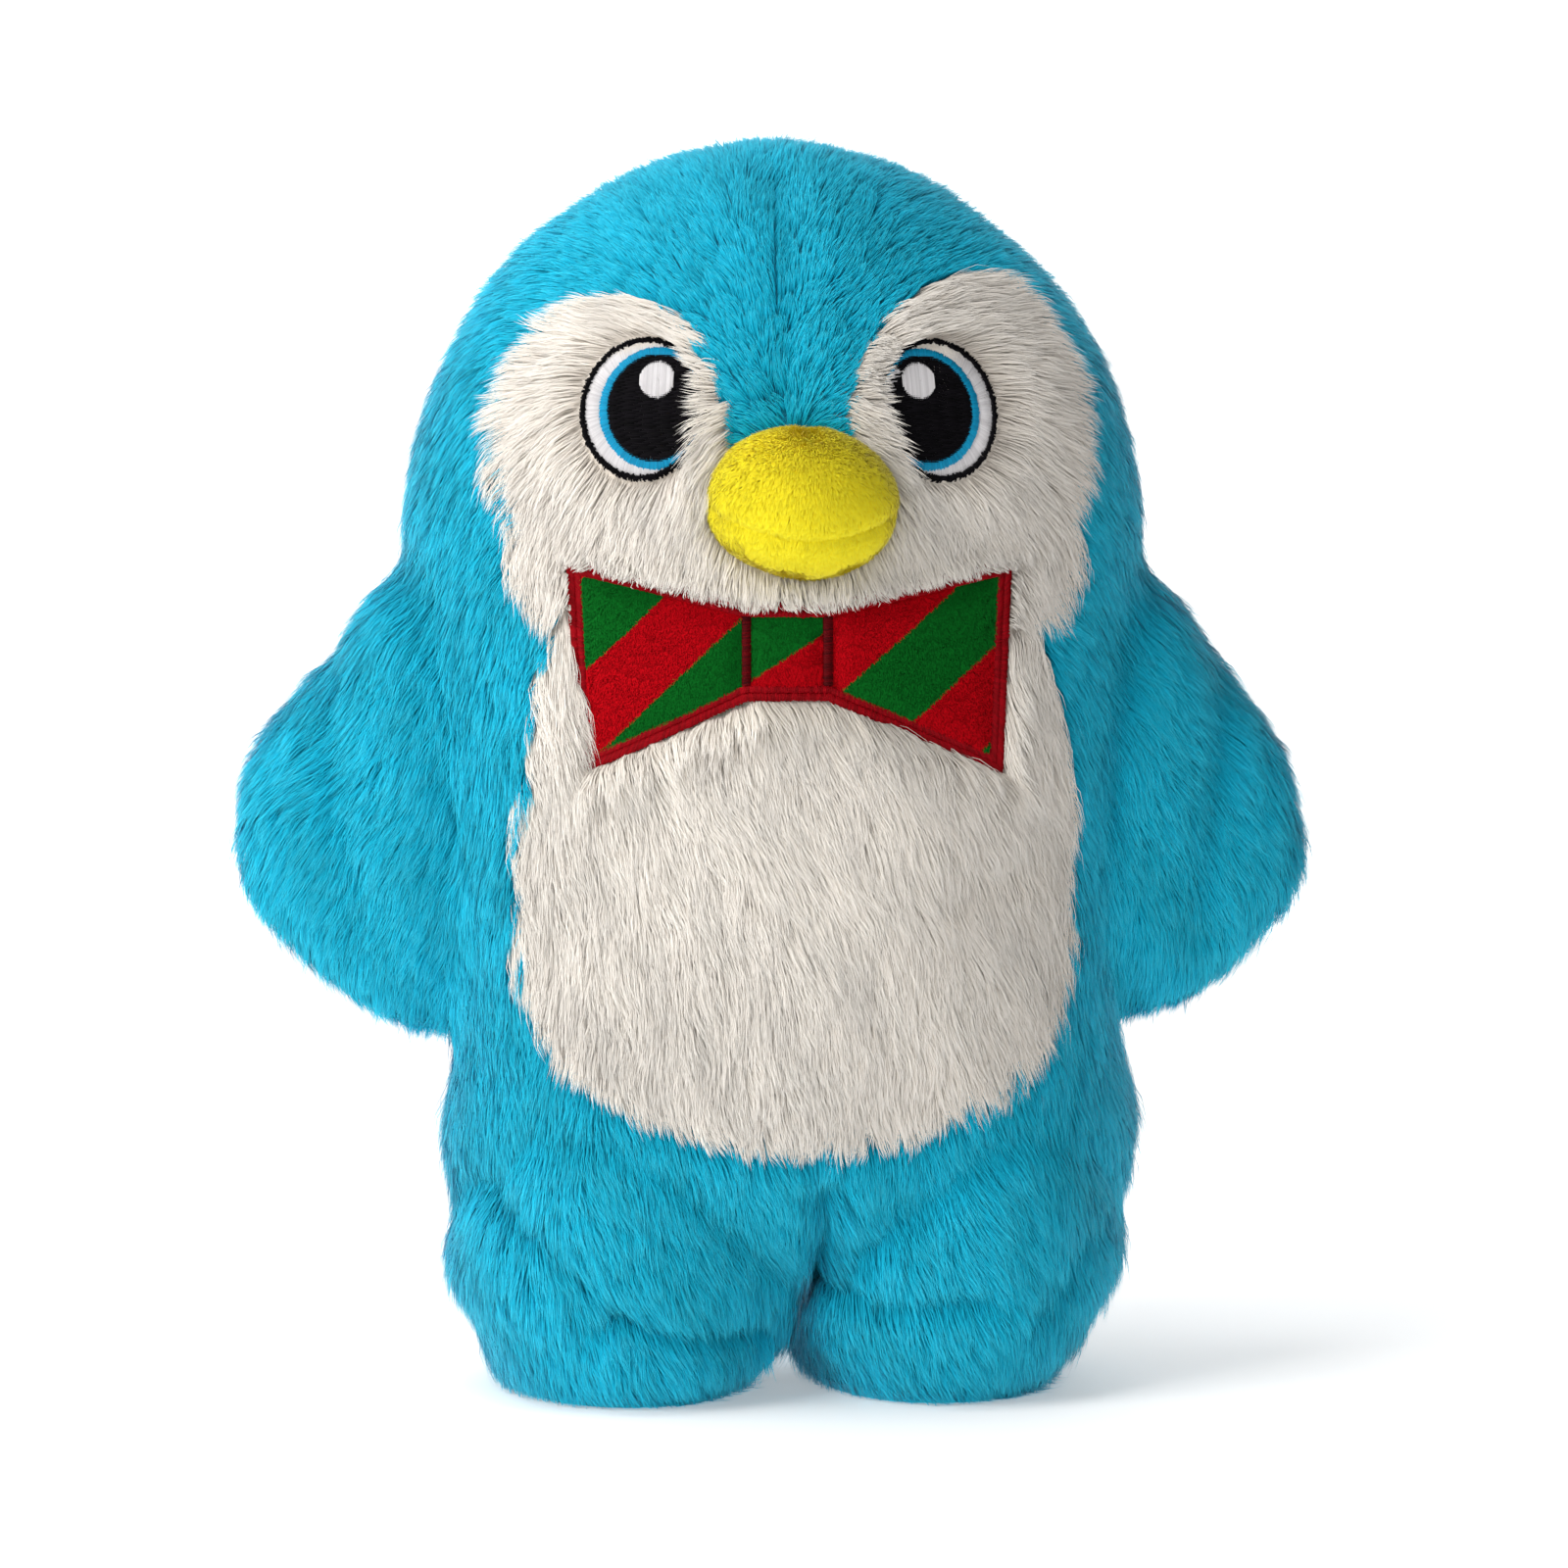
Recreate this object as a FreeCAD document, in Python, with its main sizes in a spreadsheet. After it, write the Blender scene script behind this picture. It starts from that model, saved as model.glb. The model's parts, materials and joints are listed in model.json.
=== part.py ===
import FreeCAD, Part
import os
import Sketcher

# A stuffed plush penguin, 320 mm tall, in millimetres. It faces -Y and stands on z = 0.
# "Left" and "right" are the penguin's own: left is +X. The side seams lie in the plane y = axis_y.
# Long pile counts as part of the fabric that it grows on, so a panel's outer face is the pile's.

doc = FreeCAD.newDocument("PlushPenguin")
sizes = doc.addObject("Spreadsheet::Sheet", "Sizes")

# Horizontal sections of the one stuffed bag, from the crotch up: height, half width, half depth.
TRUNK = {
    "crotch": (28, 60, 30),
    "thigh": (40, 78.5, 43),
    "hip": (52, 86.5, 54),
    "lap": (68, 88.5, 61),
    "belly": (96, 86, 64.5),
    "chest": (150, 90, 64),
    "collar": (200, 94, 60.5),
    "cheek": (218, 94, 60),
}
# The same for one leg, about its own axis, from the sole up to where it is lost in the trunk.
LEG = {
    "tread": (0, 27, 40),
    "toe": (6, 32.5, 46),
    "foot": (18, 38.5, 52),
    "ankle": (32, 45, 55),
    "shin": (52, 47, 56),
    "knee": (80, 39, 50),
    "groin": (108, 25, 38),
}
# Upright sections of a wing, out from its seam: reach, middle height above the seam's middle,
# half height, half thickness. It is pinched flat at the seam, so that it can flap.
WING = {
    "root": (0.6, 0.5, 57.5, 1.4),
    "pinch": (6, -0.9, 53.6, 7.2),
    "shoulder": (12, -1.8, 48.8, 12.5),
    "arm": (20, -3.4, 41.4, 16.5),
    "elbow": (28, -5.4, 32.9, 16.5),
    "wrist": (35, -5.5, 24.2, 13),
    "palm": (40, -6.9, 15.7, 8.5),
    "tip": (43.3, -6, 4, 2.2),
}
DIMENSIONS = {
    "axis_y": 9.75,  # the bag's middle plane: it centres beak and back about y = 0
    "pile": 6,  # backing and combed-down pile of a body panel
    "sole_thickness": 3,
    "fill_gap": 0.3,  # slack between a fill and the cloth round it
    "head_height": 101,  # from the cheeks, the widest section, to the crown
    "leg_axis": 38.5,
    "cheek_middle_x": 42,
    "cheek_middle_z": 240,
    "cheek_half_width": 28,
    "cheek_half_height": 38.5,
    "jowl_middle_x": 30,
    "jowl_middle_z": 212,
    "jowl_half_width": 41,
    "jowl_half_height": 22,
    "belly_middle_z": 120,
    "belly_white_half_width": 69,
    "belly_white_half_height": 53,
    "bib_top": 200,
    "bib_half_width": 60,
    "eye_x": 37.3,
    "eye_y": -51.7,  # from the side seams' plane, on the pile's surface
    "eye_z": 248,
    "eye_yaw": 16.3,
    "eye_lean": 11.8,
    "eye_half_width": 16,
    "eye_half_height": 18,
    "eye_depth": 4.2,  # the pocket that the eye's patch lies in
    "eye_patch_thickness": 1.2,
    "embroidery": 0.8,
    "outline_stitch": 1.7,
    "iris_half_width": 14.4,
    "iris_half_height": 15.6,
    "pupil_half_width": 12.4,
    "pupil_half_height": 13.6,
    "iris_shift": 3.4,  # towards the beak
    "highlight_half_width": 4.4,
    "highlight_half_height": 4.9,
    "highlight_rise": 6.9,
    "beak_x": 1.7,  # sewn on a little towards the left
    "beak_y": -59,  # from the side seams' plane
    "beak_z": 224.1,
    "beak_half_width": 23.7,
    "beak_half_height": 19,
    "beak_half_depth": 25,
    "beak_skin": 2.5,
    "mouth_radius": 39,
    "mouth_z": 214.6,
    "tie_top_half_width": 54.7,
    "tie_top_z": 210.5,
    "tie_bottom_half_width": 52.3,
    "tie_bottom_z": 158,
    "knot_half_width": 10,
    "knot_top_z": 199.5,
    "knot_bottom_z": 176.3,
    "tie_border": 3.4,
    "tie_stitch_width": 2.2,
    "tie_curve": 131,  # radius of the chest under the tie
    "tie_y": -61.5,  # the chest's pile at the tie's middle, from the side seams' plane
    "tie_pocket": 3.5,
    "tie_backing": 1.2,
    "tie_fabric": 1.8,
    "tie_thread": 0.8,
    "wing_seam_x": 91,
    "wing_seam_z": 150,
    "wing_seam_lean": 4.24,
    "wing_skin": 5,
    "reach": 200,  # longer than any half of the toy: for half spaces and prisms
}


def fill_sheet():
    """Writes every driving dimension to the sheet, one row each, with its name as its alias."""
    rows = dict(DIMENSIONS)
    for name, (z, half_width, half_depth) in {**TRUNK, **LEG}.items():
        rows[name + "_level"] = z
        rows[name + "_width"] = half_width
        rows[name + "_depth"] = half_depth
    for name, (reach, middle, half_height, half_thickness) in WING.items():
        rows["wing_" + name + "_reach"] = reach
        rows["wing_" + name + "_middle"] = middle
        rows["wing_" + name + "_rise"] = half_height
        rows["wing_" + name + "_bulk"] = half_thickness
    for row, (alias, value) in enumerate(rows.items(), 1):
        sizes.set(f"A{row}", alias.replace("_", " "))
        sizes.set(f"B{row}", str(value))
        sizes.setAlias(f"B{row}", alias)
    doc.recompute()


def bind(item, **expressions):
    """Ties properties to the sheet. Each @word is the sheet's cell of that name."""
    for name, expression in expressions.items():
        item.setExpression(name, expression.replace("@", "Sizes."))
    return item


def place(item, x="0", y="@axis_y", z="0", yaw="0", pitch="0", roll="0"):
    """Binds a Placement: the angles turn the item about Z, then Y, then X, in degrees."""
    spot = f"create(<<vector>>; ({x}) * 1 mm; ({y}) * 1 mm; ({z}) * 1 mm)"
    turn = f"create(<<rotation>>; {yaw}; {pitch}; {roll})"
    return bind(item, Placement=f"create(<<placement>>; {spot}; {turn})")


def ellipse(name, long_half, short_half):
    """An ellipse with its long axis along its own X."""
    return bind(doc.addObject("Part::Ellipse", name), MajorRadius=long_half, MinorRadius=short_half)


def loft(name, sections):
    item = doc.addObject("Part::Loft", name)
    item.Sections = sections
    item.Solid = True
    item.Ruled = False
    return item


def prism(name, outline, length, direction):
    """A closed outline swept straight along a direction."""
    item = doc.addObject("Part::Extrusion", name)
    item.Base = outline
    item.DirMode = "Custom"
    item.Dir = FreeCAD.Vector(*direction)
    item.Solid = True
    return bind(item, LengthFwd=length)


def fuse(name, items):
    item = doc.addObject("Part::MultiFuse", name)
    item.Shapes = items
    return item


def cut(name, base, tool):
    item = doc.addObject("Part::Cut", name)
    item.Base = base
    item.Tool = tool
    return item


def common(name, base, tool):
    item = doc.addObject("Part::Common", name)
    item.Base = base
    item.Tool = tool
    return item


def mirror(name, source):
    """The same item on the other side of the plane x = 0."""
    item = doc.addObject("Part::Mirroring", name)
    item.Source = source
    item.Normal = FreeCAD.Vector(1, 0, 0)
    return item


def box(name, length, width, height, **spot):
    item = bind(doc.addObject("Part::Box", name), Length=length, Width=width, Height=height)
    return place(item, **spot)


def ellipsoid(name, inset, up, across, deep, **spot):
    """An ellipsoid whose three half sizes are each less by the inset."""
    radii = {"Radius1": up, "Radius2": across, "Radius3": deep}
    radii = {key: f"{half} - {inset}" for key, half in radii.items()}
    item = doc.addObject("Part::Ellipsoid", name)
    item.Angle1 = -90
    item.Angle2 = 90
    return place(bind(item, **radii), **spot)


def bag(name, inset, bottom):
    """The whole bag's form: trunk, head and two legs. Its sides lie inset inside the pile."""
    rings = []
    for level in TRUNK:
        ring = ellipse(f"{name}_{level}", f"@{level}_width - {inset}", f"@{level}_depth - {inset}")
        rings.append(place(ring, z=f"@{level}_level"))
    trunk = loft(f"{name}_trunk", rings)

    skull = ellipsoid(
        f"{name}_skull", inset, "@head_height", "@cheek_width", "@cheek_depth", z="@cheek_level"
    )
    above_size = ("2 * @reach", "2 * @reach", "@reach")
    above = box(f"{name}_above", *above_size, x="-@reach", y="-@reach", z="@cheek_level")
    dome = common(f"{name}_dome", skull, above)

    rings = []
    for level in LEG:
        ring = ellipse(f"{name}_{level}", f"@{level}_depth - {inset}", f"@{level}_width - {inset}")
        base = bottom if level == "tread" else f"@{level}_level"
        rings.append(place(ring, x="@leg_axis", z=base, yaw="90"))
    leg = loft(f"{name}_leg", rings)
    return fuse(name, [trunk, dome, leg, mirror(f"{name}_other_leg", leg)])


def wing_form(name, inset, levels):
    """A wing's form in its own frame: X out from the seam, Z along the seam."""
    rings = []
    for level in levels:
        rise, bulk = f"@wing_{level}_rise - {inset}", f"@wing_{level}_bulk - {inset}"
        ring = ellipse(f"{name}_{level}", rise, bulk)
        middle = f"@wing_{level}_middle"
        rings.append(place(ring, x=f"@wing_{level}_reach", y="0", z=middle, pitch="-90"))
    return loft(name, rings)


def outline_sketch(name, points):
    """A closed straight-sided outline in the XZ plane, each corner held by two bound distances."""
    sketch = doc.addObject("Sketcher::SketchObject", name)
    sketch.Placement = FreeCAD.Placement(
        FreeCAD.Vector(0, 0, 0), FreeCAD.Rotation(FreeCAD.Vector(1, 0, 0), 90)
    )
    corners = []
    for x_sign, x_alias, z_alias in points:
        corners.append((x_sign * DIMENSIONS[x_alias], DIMENSIONS[z_alias]))
    count = len(points)
    for i in range(count):
        start, end = corners[i], corners[(i + 1) % count]
        line = Part.LineSegment(FreeCAD.Vector(*start, 0), FreeCAD.Vector(*end, 0))
        sketch.addGeometry(line, False)
    for i in range(count):
        sketch.addConstraint(Sketcher.Constraint("Coincident", i, 2, (i + 1) % count, 1))
    for i, (x_sign, x_alias, z_alias) in enumerate(points):
        across = sketch.addConstraint(Sketcher.Constraint("DistanceX", -1, 1, i, 1, corners[i][0]))
        up = sketch.addConstraint(Sketcher.Constraint("DistanceY", -1, 1, i, 1, corners[i][1]))
        sketch.setExpression(f"Constraints[{across}]", f"{x_sign} * Sizes.{x_alias} * 1 mm")
        sketch.setExpression(f"Constraints[{up}]", f"Sizes.{z_alias} * 1 mm")
    return sketch


nodes = {}


def node(label, item):
    """Registers a finished sub-part under the name of its file."""
    item.Label = label
    nodes[label] = item
    return item


def pair(label, item):
    """Registers the left one of a pair of sub-parts, and its mirror image."""
    node(f"{label}_left", item)
    node(f"{label}_right", mirror(f"{item.Name}_mirrored", item))


def upright_disc(name, long_half, short_half, x, z, upright=True):
    """An elliptic prism from the side seams' plane out through the front."""
    ring = ellipse(f"{name}_ring", long_half, short_half)
    place(ring, x=x, z=z, yaw="0", pitch="-90" if upright else "0", roll="90")
    return prism(name, ring, "@reach", (0, -1, 0))


fill_sheet()

# The bag, its fill, and the fabric between them
outer = bag("pile_form", "0", "@tread_level")
lining = bag("lining_form", "@pile", "@sole_thickness")
fabric = cut("fabric", outer, lining)
node("body_stuffing", bag("fill_form", "(@pile + @fill_gap)", "@sole_thickness + @fill_gap"))

# White belly: an ellipse below, with a bib that narrows up to the collar
belly_round = upright_disc(
    "belly_round", "@belly_white_half_width", "@belly_white_half_height", "0", "@belly_middle_z", False
)
bib_corners = [
    (-1, "belly_white_half_width", "belly_middle_z"),
    (1, "belly_white_half_width", "belly_middle_z"),
    (1, "bib_half_width", "bib_top"),
    (-1, "bib_half_width", "bib_top"),
]
bib_sketch = outline_sketch("bib_outline", bib_corners)
bib = prism("bib", bib_sketch, "@reach", (0, -1, 0))
belly_white = fuse("belly_white", [belly_round, bib])

# Flat bow tie: two wings and a knot, curved round the chest
tie_corners = [
    (-1, "tie_top_half_width", "tie_top_z"),
    (-1, "knot_half_width", "knot_top_z"),
    (1, "knot_half_width", "knot_top_z"),
    (1, "tie_top_half_width", "tie_top_z"),
    (1, "tie_bottom_half_width", "tie_bottom_z"),
    (1, "knot_half_width", "knot_bottom_z"),
    (-1, "knot_half_width", "knot_bottom_z"),
    (-1, "tie_bottom_half_width", "tie_bottom_z"),
]
tie_sketch = outline_sketch("tie_outline", tie_corners)
tie_prism = prism("tie_prism", tie_sketch, "@reach", (0, -1, 0))


def chest(name, depth):
    """An upright cylinder that follows the chest, at a depth inside the pile's surface."""
    item = doc.addObject("Part::Cylinder", name)
    bind(item, Radius=f"@tie_curve - ({depth})", Height="2 * @reach")
    return place(item, y="@axis_y + @tie_y + @tie_curve")


def tie_layer(name, outline, floor, top):
    """The part of a prism between two depths inside the pile's surface."""
    band = cut(f"{name}_band", chest(f"{name}_top", top), chest(f"{name}_floor", floor))
    return common(name, outline, band)


backing_face = "@tie_pocket - @tie_backing"
fabric_face = "@tie_pocket - @tie_backing - @tie_fabric"
thread_face = fabric_face + " - @tie_thread"
tie_pocket = cut("tie_pocket", tie_prism, chest("tie_pocket_floor", "@tie_pocket"))
node("tie_backing", tie_layer("tie_backing_layer", tie_prism, "@tie_pocket", backing_face))
node("tie_fabric", tie_layer("tie_fabric_layer", tie_prism, backing_face, fabric_face))

inner_outline = doc.addObject("Part::Offset2D", "tie_inner_outline")
inner_outline.Source = tie_sketch
inner_outline.Join = "Intersection"
bind(inner_outline, Value="-@tie_border")
inner_prism = prism("tie_inner_prism", inner_outline, "@reach", (0, -1, 0))
border_prism = cut("tie_border_prism", tie_prism, inner_prism)
node("tie_border", tie_layer("tie_border_layer", border_prism, fabric_face, thread_face))

strips = []
for side in (1, -1):
    strip = box(
        f"tie_strip_{side + 1}", "@tie_stitch_width", "@reach", "@reach",
        x=f"{side} * @knot_half_width - @tie_stitch_width / 2", y="-@reach", z="@tie_bottom_z",
    )
    strips.append(strip)
divider_prism = common("tie_divider_prism", inner_prism, fuse("tie_strips", strips))
node("tie_dividers", tie_layer("tie_divider_layer", divider_prism, fabric_face, thread_face))

# Beak: two short-pile panels over a fill, sewn on at the backing of the face
beak_spot = {"x": "@beak_x", "y": "@axis_y + @beak_y", "z": "@beak_z"}
beak_half = ("@beak_half_height", "@beak_half_width", "@beak_half_depth")
beak_solid = ellipsoid("beak_solid", "0", *beak_half, **beak_spot)
beak_core = ellipsoid("beak_core", "@beak_skin", *beak_half, **beak_spot)
beak_fill = ellipsoid("beak_fill_form", "(@beak_skin + @fill_gap)", *beak_half, **beak_spot)
beak_front = cut("beak_front", beak_solid, lining)
beak_skin = cut("beak_skin_shell", beak_front, beak_core)
mouth_round = doc.addObject("Part::Cylinder", "mouth_round")
bind(mouth_round, Radius="@mouth_radius", Height="2 * @reach")
place(mouth_round, x="@beak_x", y="@reach", z="@mouth_z + @mouth_radius", roll="90")
node("beak_upper", common("beak_upper_panel", beak_skin, mouth_round))
node("beak_lower", cut("beak_lower_panel", beak_skin, mouth_round))
node("beak_stuffing", cut("beak_fill", beak_fill, lining))


def eye_disc(name, half_width, half_height, floor, height, x="0", rise="0"):
    """An elliptic disc in the eye's own frame, where Z points out of the face."""
    ring = ellipse(f"{name}_ring", half_height, half_width)
    place(ring, x=x, y=rise, z=floor, yaw="90")
    return prism(name, ring, height, (0, 0, 1))


def on_face(item):
    """Puts a piece of the left eye in its place on the curved face."""
    return place(
        item, x="@eye_x", y="@axis_y + @eye_y", z="@eye_z", yaw="@eye_yaw", roll="90 - @eye_lean"
    )


# An eye: an embroidered patch in a pocket of the face
pocket_floor = "-@eye_depth"
patch_face = "-@eye_depth + @eye_patch_thickness"
whole = ("@eye_half_width", "@eye_half_height")
within = ("@eye_half_width - @outline_stitch", "@eye_half_height - @outline_stitch")
iris = ("@iris_half_width", "@iris_half_height")
pupil = ("@pupil_half_width", "@pupil_half_height")
glint = ("@highlight_half_width", "@highlight_half_height")
stitches = (patch_face, "@embroidery")
shift = "-@iris_shift"

pair("eye_patch", on_face(eye_disc("eye_patch_disc", *whole, pocket_floor, "@eye_patch_thickness")))
rim = eye_disc("eye_rim", *whole, *stitches)
field = eye_disc("eye_field", *within, *stitches)
pair("eye_outline", on_face(cut("eye_outline_ring", rim, field)))
iris_field = common("iris_field", eye_disc("iris_disc", *iris, *stitches, x=shift), field)
pupil_disc = eye_disc("pupil_disc", *pupil, *stitches, x=shift)
pair("eye_iris", on_face(cut("iris_crescent", iris_field, pupil_disc)))
pupil_field = common("pupil_field", pupil_disc, field)
gleam = eye_disc("gleam", *glint, *stitches, x=shift, rise="@highlight_rise")
pair("eye_pupil", on_face(cut("pupil_cut", pupil_field, gleam)))
bright = eye_disc("bright", *glint, *stitches, x=shift, rise="@highlight_rise")
pair("eye_highlight", on_face(bright))
eye_pocket = on_face(eye_disc("eye_pocket", *whole, pocket_floor, "@eye_depth + @pile"))

# The panels. Each quarter of the fabric lies between the side seams and the middle seams.
quarter = ("@reach", "@reach", "2 * @reach")
front_space = box("front_space", *quarter, y="@axis_y - @reach", z="@sole_thickness")
back_space = box("back_space", *quarter, z="@sole_thickness")
front_quarter = common("front_quarter", fabric, front_space)
pair("back_panel", common("back_quarter", fabric, back_space))
foot_space = box("foot_space", "@reach", "2 * @reach", "@sole_thickness", y="-@reach")
pair("sole", common("sole_slab", outer, foot_space))

face = upright_disc(
    "face_disc", "@cheek_half_height", "@cheek_half_width", "@cheek_middle_x", "@cheek_middle_z"
)
jowl = upright_disc(
    "jowl_disc", "@jowl_half_width", "@jowl_half_height", "@jowl_middle_x", "@jowl_middle_z", False
)
cheek = fuse("cheek", [face, jowl])
cheek_fabric = common("cheek_fabric", front_quarter, cheek)
cheek_holes = fuse("cheek_holes", [tie_pocket, eye_pocket, beak_solid])
pair("cheek_patch", cut("cheek_cut", cheek_fabric, cheek_holes))
not_blue = fuse("not_blue", [cheek, belly_white, beak_solid])
pair("front_panel", cut("blue_front", front_quarter, not_blue))

front_half = box("front_half", "2 * @reach", "@reach", "2 * @reach", x="-@reach", y="@axis_y - @reach")
belly_fabric = common("belly_fabric", common("front_fabric", fabric, front_half), belly_white)
belly_holes = fuse("belly_holes", [cheek, mirror("other_cheek", cheek), tie_pocket])
node("belly_panel", cut("belly_cut", belly_fabric, belly_holes))


def on_side(item):
    """Puts a piece of the left wing at its seam, which leans with the body's side."""
    return place(item, x="@wing_seam_x", z="@wing_seam_z", pitch="@wing_seam_lean")


# Wings: two skins sewn round the edge over their own fill
inside = list(WING)[1:-1]
wing_core = wing_form("wing_core", "@wing_skin", inside)
wing_skin = cut("wing_skin_shell", wing_form("wing_full", "0", WING), wing_core)
for face_name, near_edge in (("front", "-@reach"), ("back", "0")):
    half = box(
        f"wing_{face_name}_space", "2 * @reach", "@reach", "2 * @reach",
        x="-@reach", y=near_edge, z="-@reach",
    )
    pair(f"wing_{face_name}", on_side(common(f"wing_{face_name}_half", wing_skin, half)))
pair("wing_stuffing", on_side(wing_form("wing_fill", "(@wing_skin + @fill_gap)", inside)))

doc.recompute()

for item in doc.Objects:
    if "Invalid" in item.State or "Error" in item.State:
        raise RuntimeError(f"{item.Name} ({item.Label}) failed: {item.State}")
for label, item in nodes.items():
    shape = item.Shape
    if shape.isNull() or not shape.isValid() or not shape.Solids:
        raise RuntimeError(f"{label} has no valid solid")

os.makedirs("parts", exist_ok=True)
for label, item in nodes.items():
    item.Shape.exportStep(f"parts/{label}.step")
    box_mm = item.Shape.BoundBox
    print(
        f"{label}: {len(item.Shape.Solids)} solid, {item.Shape.Volume / 1000:.2f} cm3, "
        f"x {box_mm.XMin:.1f}..{box_mm.XMax:.1f} y {box_mm.YMin:.1f}..{box_mm.YMax:.1f} "
        f"z {box_mm.ZMin:.1f}..{box_mm.ZMax:.1f}"
    )
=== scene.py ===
import json
import math

import bpy
import numpy as np
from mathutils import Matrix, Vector
from mathutils.bvhtree import BVHTree
from mathutils.kdtree import KDTree


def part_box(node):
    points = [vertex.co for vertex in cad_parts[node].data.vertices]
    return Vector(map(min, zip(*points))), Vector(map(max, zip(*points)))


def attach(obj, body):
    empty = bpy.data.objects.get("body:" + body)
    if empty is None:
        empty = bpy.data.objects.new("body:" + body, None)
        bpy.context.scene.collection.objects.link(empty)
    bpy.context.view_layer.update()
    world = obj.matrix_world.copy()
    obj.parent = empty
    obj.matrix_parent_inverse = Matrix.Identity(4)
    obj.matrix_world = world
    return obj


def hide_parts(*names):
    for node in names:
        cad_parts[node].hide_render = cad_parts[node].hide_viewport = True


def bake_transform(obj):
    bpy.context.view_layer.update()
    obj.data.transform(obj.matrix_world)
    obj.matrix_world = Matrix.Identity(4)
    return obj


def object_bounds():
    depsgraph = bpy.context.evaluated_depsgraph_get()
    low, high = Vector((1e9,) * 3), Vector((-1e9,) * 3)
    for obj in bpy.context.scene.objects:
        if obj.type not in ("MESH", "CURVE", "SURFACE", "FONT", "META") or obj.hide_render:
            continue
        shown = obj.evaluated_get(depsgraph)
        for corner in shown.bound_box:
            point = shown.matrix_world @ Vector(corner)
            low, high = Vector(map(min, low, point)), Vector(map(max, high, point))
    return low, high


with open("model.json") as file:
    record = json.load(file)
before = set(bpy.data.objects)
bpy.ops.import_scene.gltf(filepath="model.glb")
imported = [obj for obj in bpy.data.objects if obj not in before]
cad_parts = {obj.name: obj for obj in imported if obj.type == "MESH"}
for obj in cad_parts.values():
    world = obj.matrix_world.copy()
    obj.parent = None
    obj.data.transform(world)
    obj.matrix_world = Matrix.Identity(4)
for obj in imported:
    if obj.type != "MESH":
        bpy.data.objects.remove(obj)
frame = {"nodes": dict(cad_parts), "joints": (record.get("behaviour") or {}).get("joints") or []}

cad_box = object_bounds()
MM = 0.001
rng = np.random.default_rng(7)

# ---- places, read from the frame


def middle(node):
    low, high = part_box(node)
    return np.array((low + high) / 2)


AXIS_Y = middle("sole_left")[1]
HEAD_TOP = cad_box[1].z
FACE_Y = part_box("belly_panel")[0].y
BEAK_LOW = np.minimum(*[np.array(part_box(n)[0]) for n in ("beak_upper", "beak_lower")])
BEAK_HIGH = np.maximum(*[np.array(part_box(n)[1]) for n in ("beak_upper", "beak_lower")])
MOUTH_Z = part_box("beak_upper")[0].z
TIE_LOW, TIE_HIGH = [np.array(c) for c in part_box("tie_fabric")]
KNOT_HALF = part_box("tie_dividers")[1].x - 1.1 * MM
BODY = "torso"
SIDES = (("left", 1), ("right", -1))
JOINTS = {joint["child"]: joint for joint in frame["joints"]}
HINGE = {side: np.array(JOINTS[f"wing_{side}"]["pos_m"]) for side, _ in SIDES}
SEAM_LEAN = JOINTS["wing_left"]["axis"][0] / JOINTS["wing_left"]["axis"][2]
WING_LOW, WING_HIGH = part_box("wing_front_left")[0].z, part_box("wing_front_left")[1].z
PANELS = ["belly_panel"]
PANELS += [f"{name}_{side}" for name in ("front_panel", "back_panel", "cheek_patch") for side, _ in SIDES]
FOREHEAD = np.array([0, FACE_Y, HEAD_TOP - 56 * MM])
BRIDGE = np.array([0, FACE_Y, HEAD_TOP - 66 * MM])

# ---- small helpers


def read(items, name, width=3, kind=np.float32):
    """One property of all a mesh's items, a row for each."""
    values = np.empty(len(items) * width, kind)
    items.foreach_get(name, values)
    return values.reshape(-1, width)


def write(items, name, values, kind=np.float32):
    items.foreach_set(name, np.ascontiguousarray(values, kind).ravel())


def linked(name, data):
    item = bpy.data.objects.new(name, data)
    bpy.context.scene.collection.objects.link(item)
    return item


def unit(v):
    return v / np.maximum(np.linalg.norm(v, axis=-1, keepdims=True), 1e-9)


def smoothstep(x, start, end):
    t = np.clip((x - start) / (end - start), 0, 1)
    return t * t * (3 - 2 * t)


def along_surface(v, normal):
    """v with its part along the normal taken out, one unit long."""
    return unit(v - normal * np.sum(v * normal, axis=-1, keepdims=True))


def waves(p, size, seed):
    """Smooth vector noise of about unit height whose bumps are about size across."""
    source = np.random.default_rng(seed)
    total = np.zeros_like(p)
    for octave in range(6):
        k = source.normal(size=(3, 3)) * (2.2 / size) * (0.6 + 0.25 * octave)
        phase = source.uniform(0, 2 * math.pi, 3)
        total += np.sin(p @ k + phase) * (0.55 / (1 + 0.35 * octave))
    return total


# ---- materials


def new_material(name, roughness, sheen=0.0, sheen_roughness=0.5, specular=0.3):
    material = bpy.data.materials.new(name)
    material.use_nodes = True
    nodes = material.node_tree.nodes
    shader = nodes["Principled BSDF"]
    shader.inputs["Roughness"].default_value = roughness
    shader.inputs["Sheen Weight"].default_value = sheen
    shader.inputs["Sheen Roughness"].default_value = sheen_roughness
    shader.inputs["Specular IOR Level"].default_value = specular
    return material, nodes, material.node_tree.links, shader


def colour_of(value, nodes, links, stops, interpolation="LINEAR"):
    """The colour that a ramp gives for a value."""
    node = nodes.new("ShaderNodeValToRGB")
    node.color_ramp.interpolation = interpolation
    elements = node.color_ramp.elements
    while len(elements) < len(stops):
        elements.new(0.5)
    for element, (place, colour) in zip(elements, stops):
        element.position = place
        element.color = (*colour, 1)
    links.new(value, node.inputs[0])
    return node.outputs[0]


def product(nodes, links, a, b):
    """Two colours multiplied."""
    node = nodes.new("ShaderNodeMix")
    node.data_type, node.blend_type = "RGBA", "MULTIPLY"
    node.inputs[0].default_value = 1.0
    links.new(a, node.inputs[6])
    links.new(b, node.inputs[7])
    return node.outputs[2]


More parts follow.
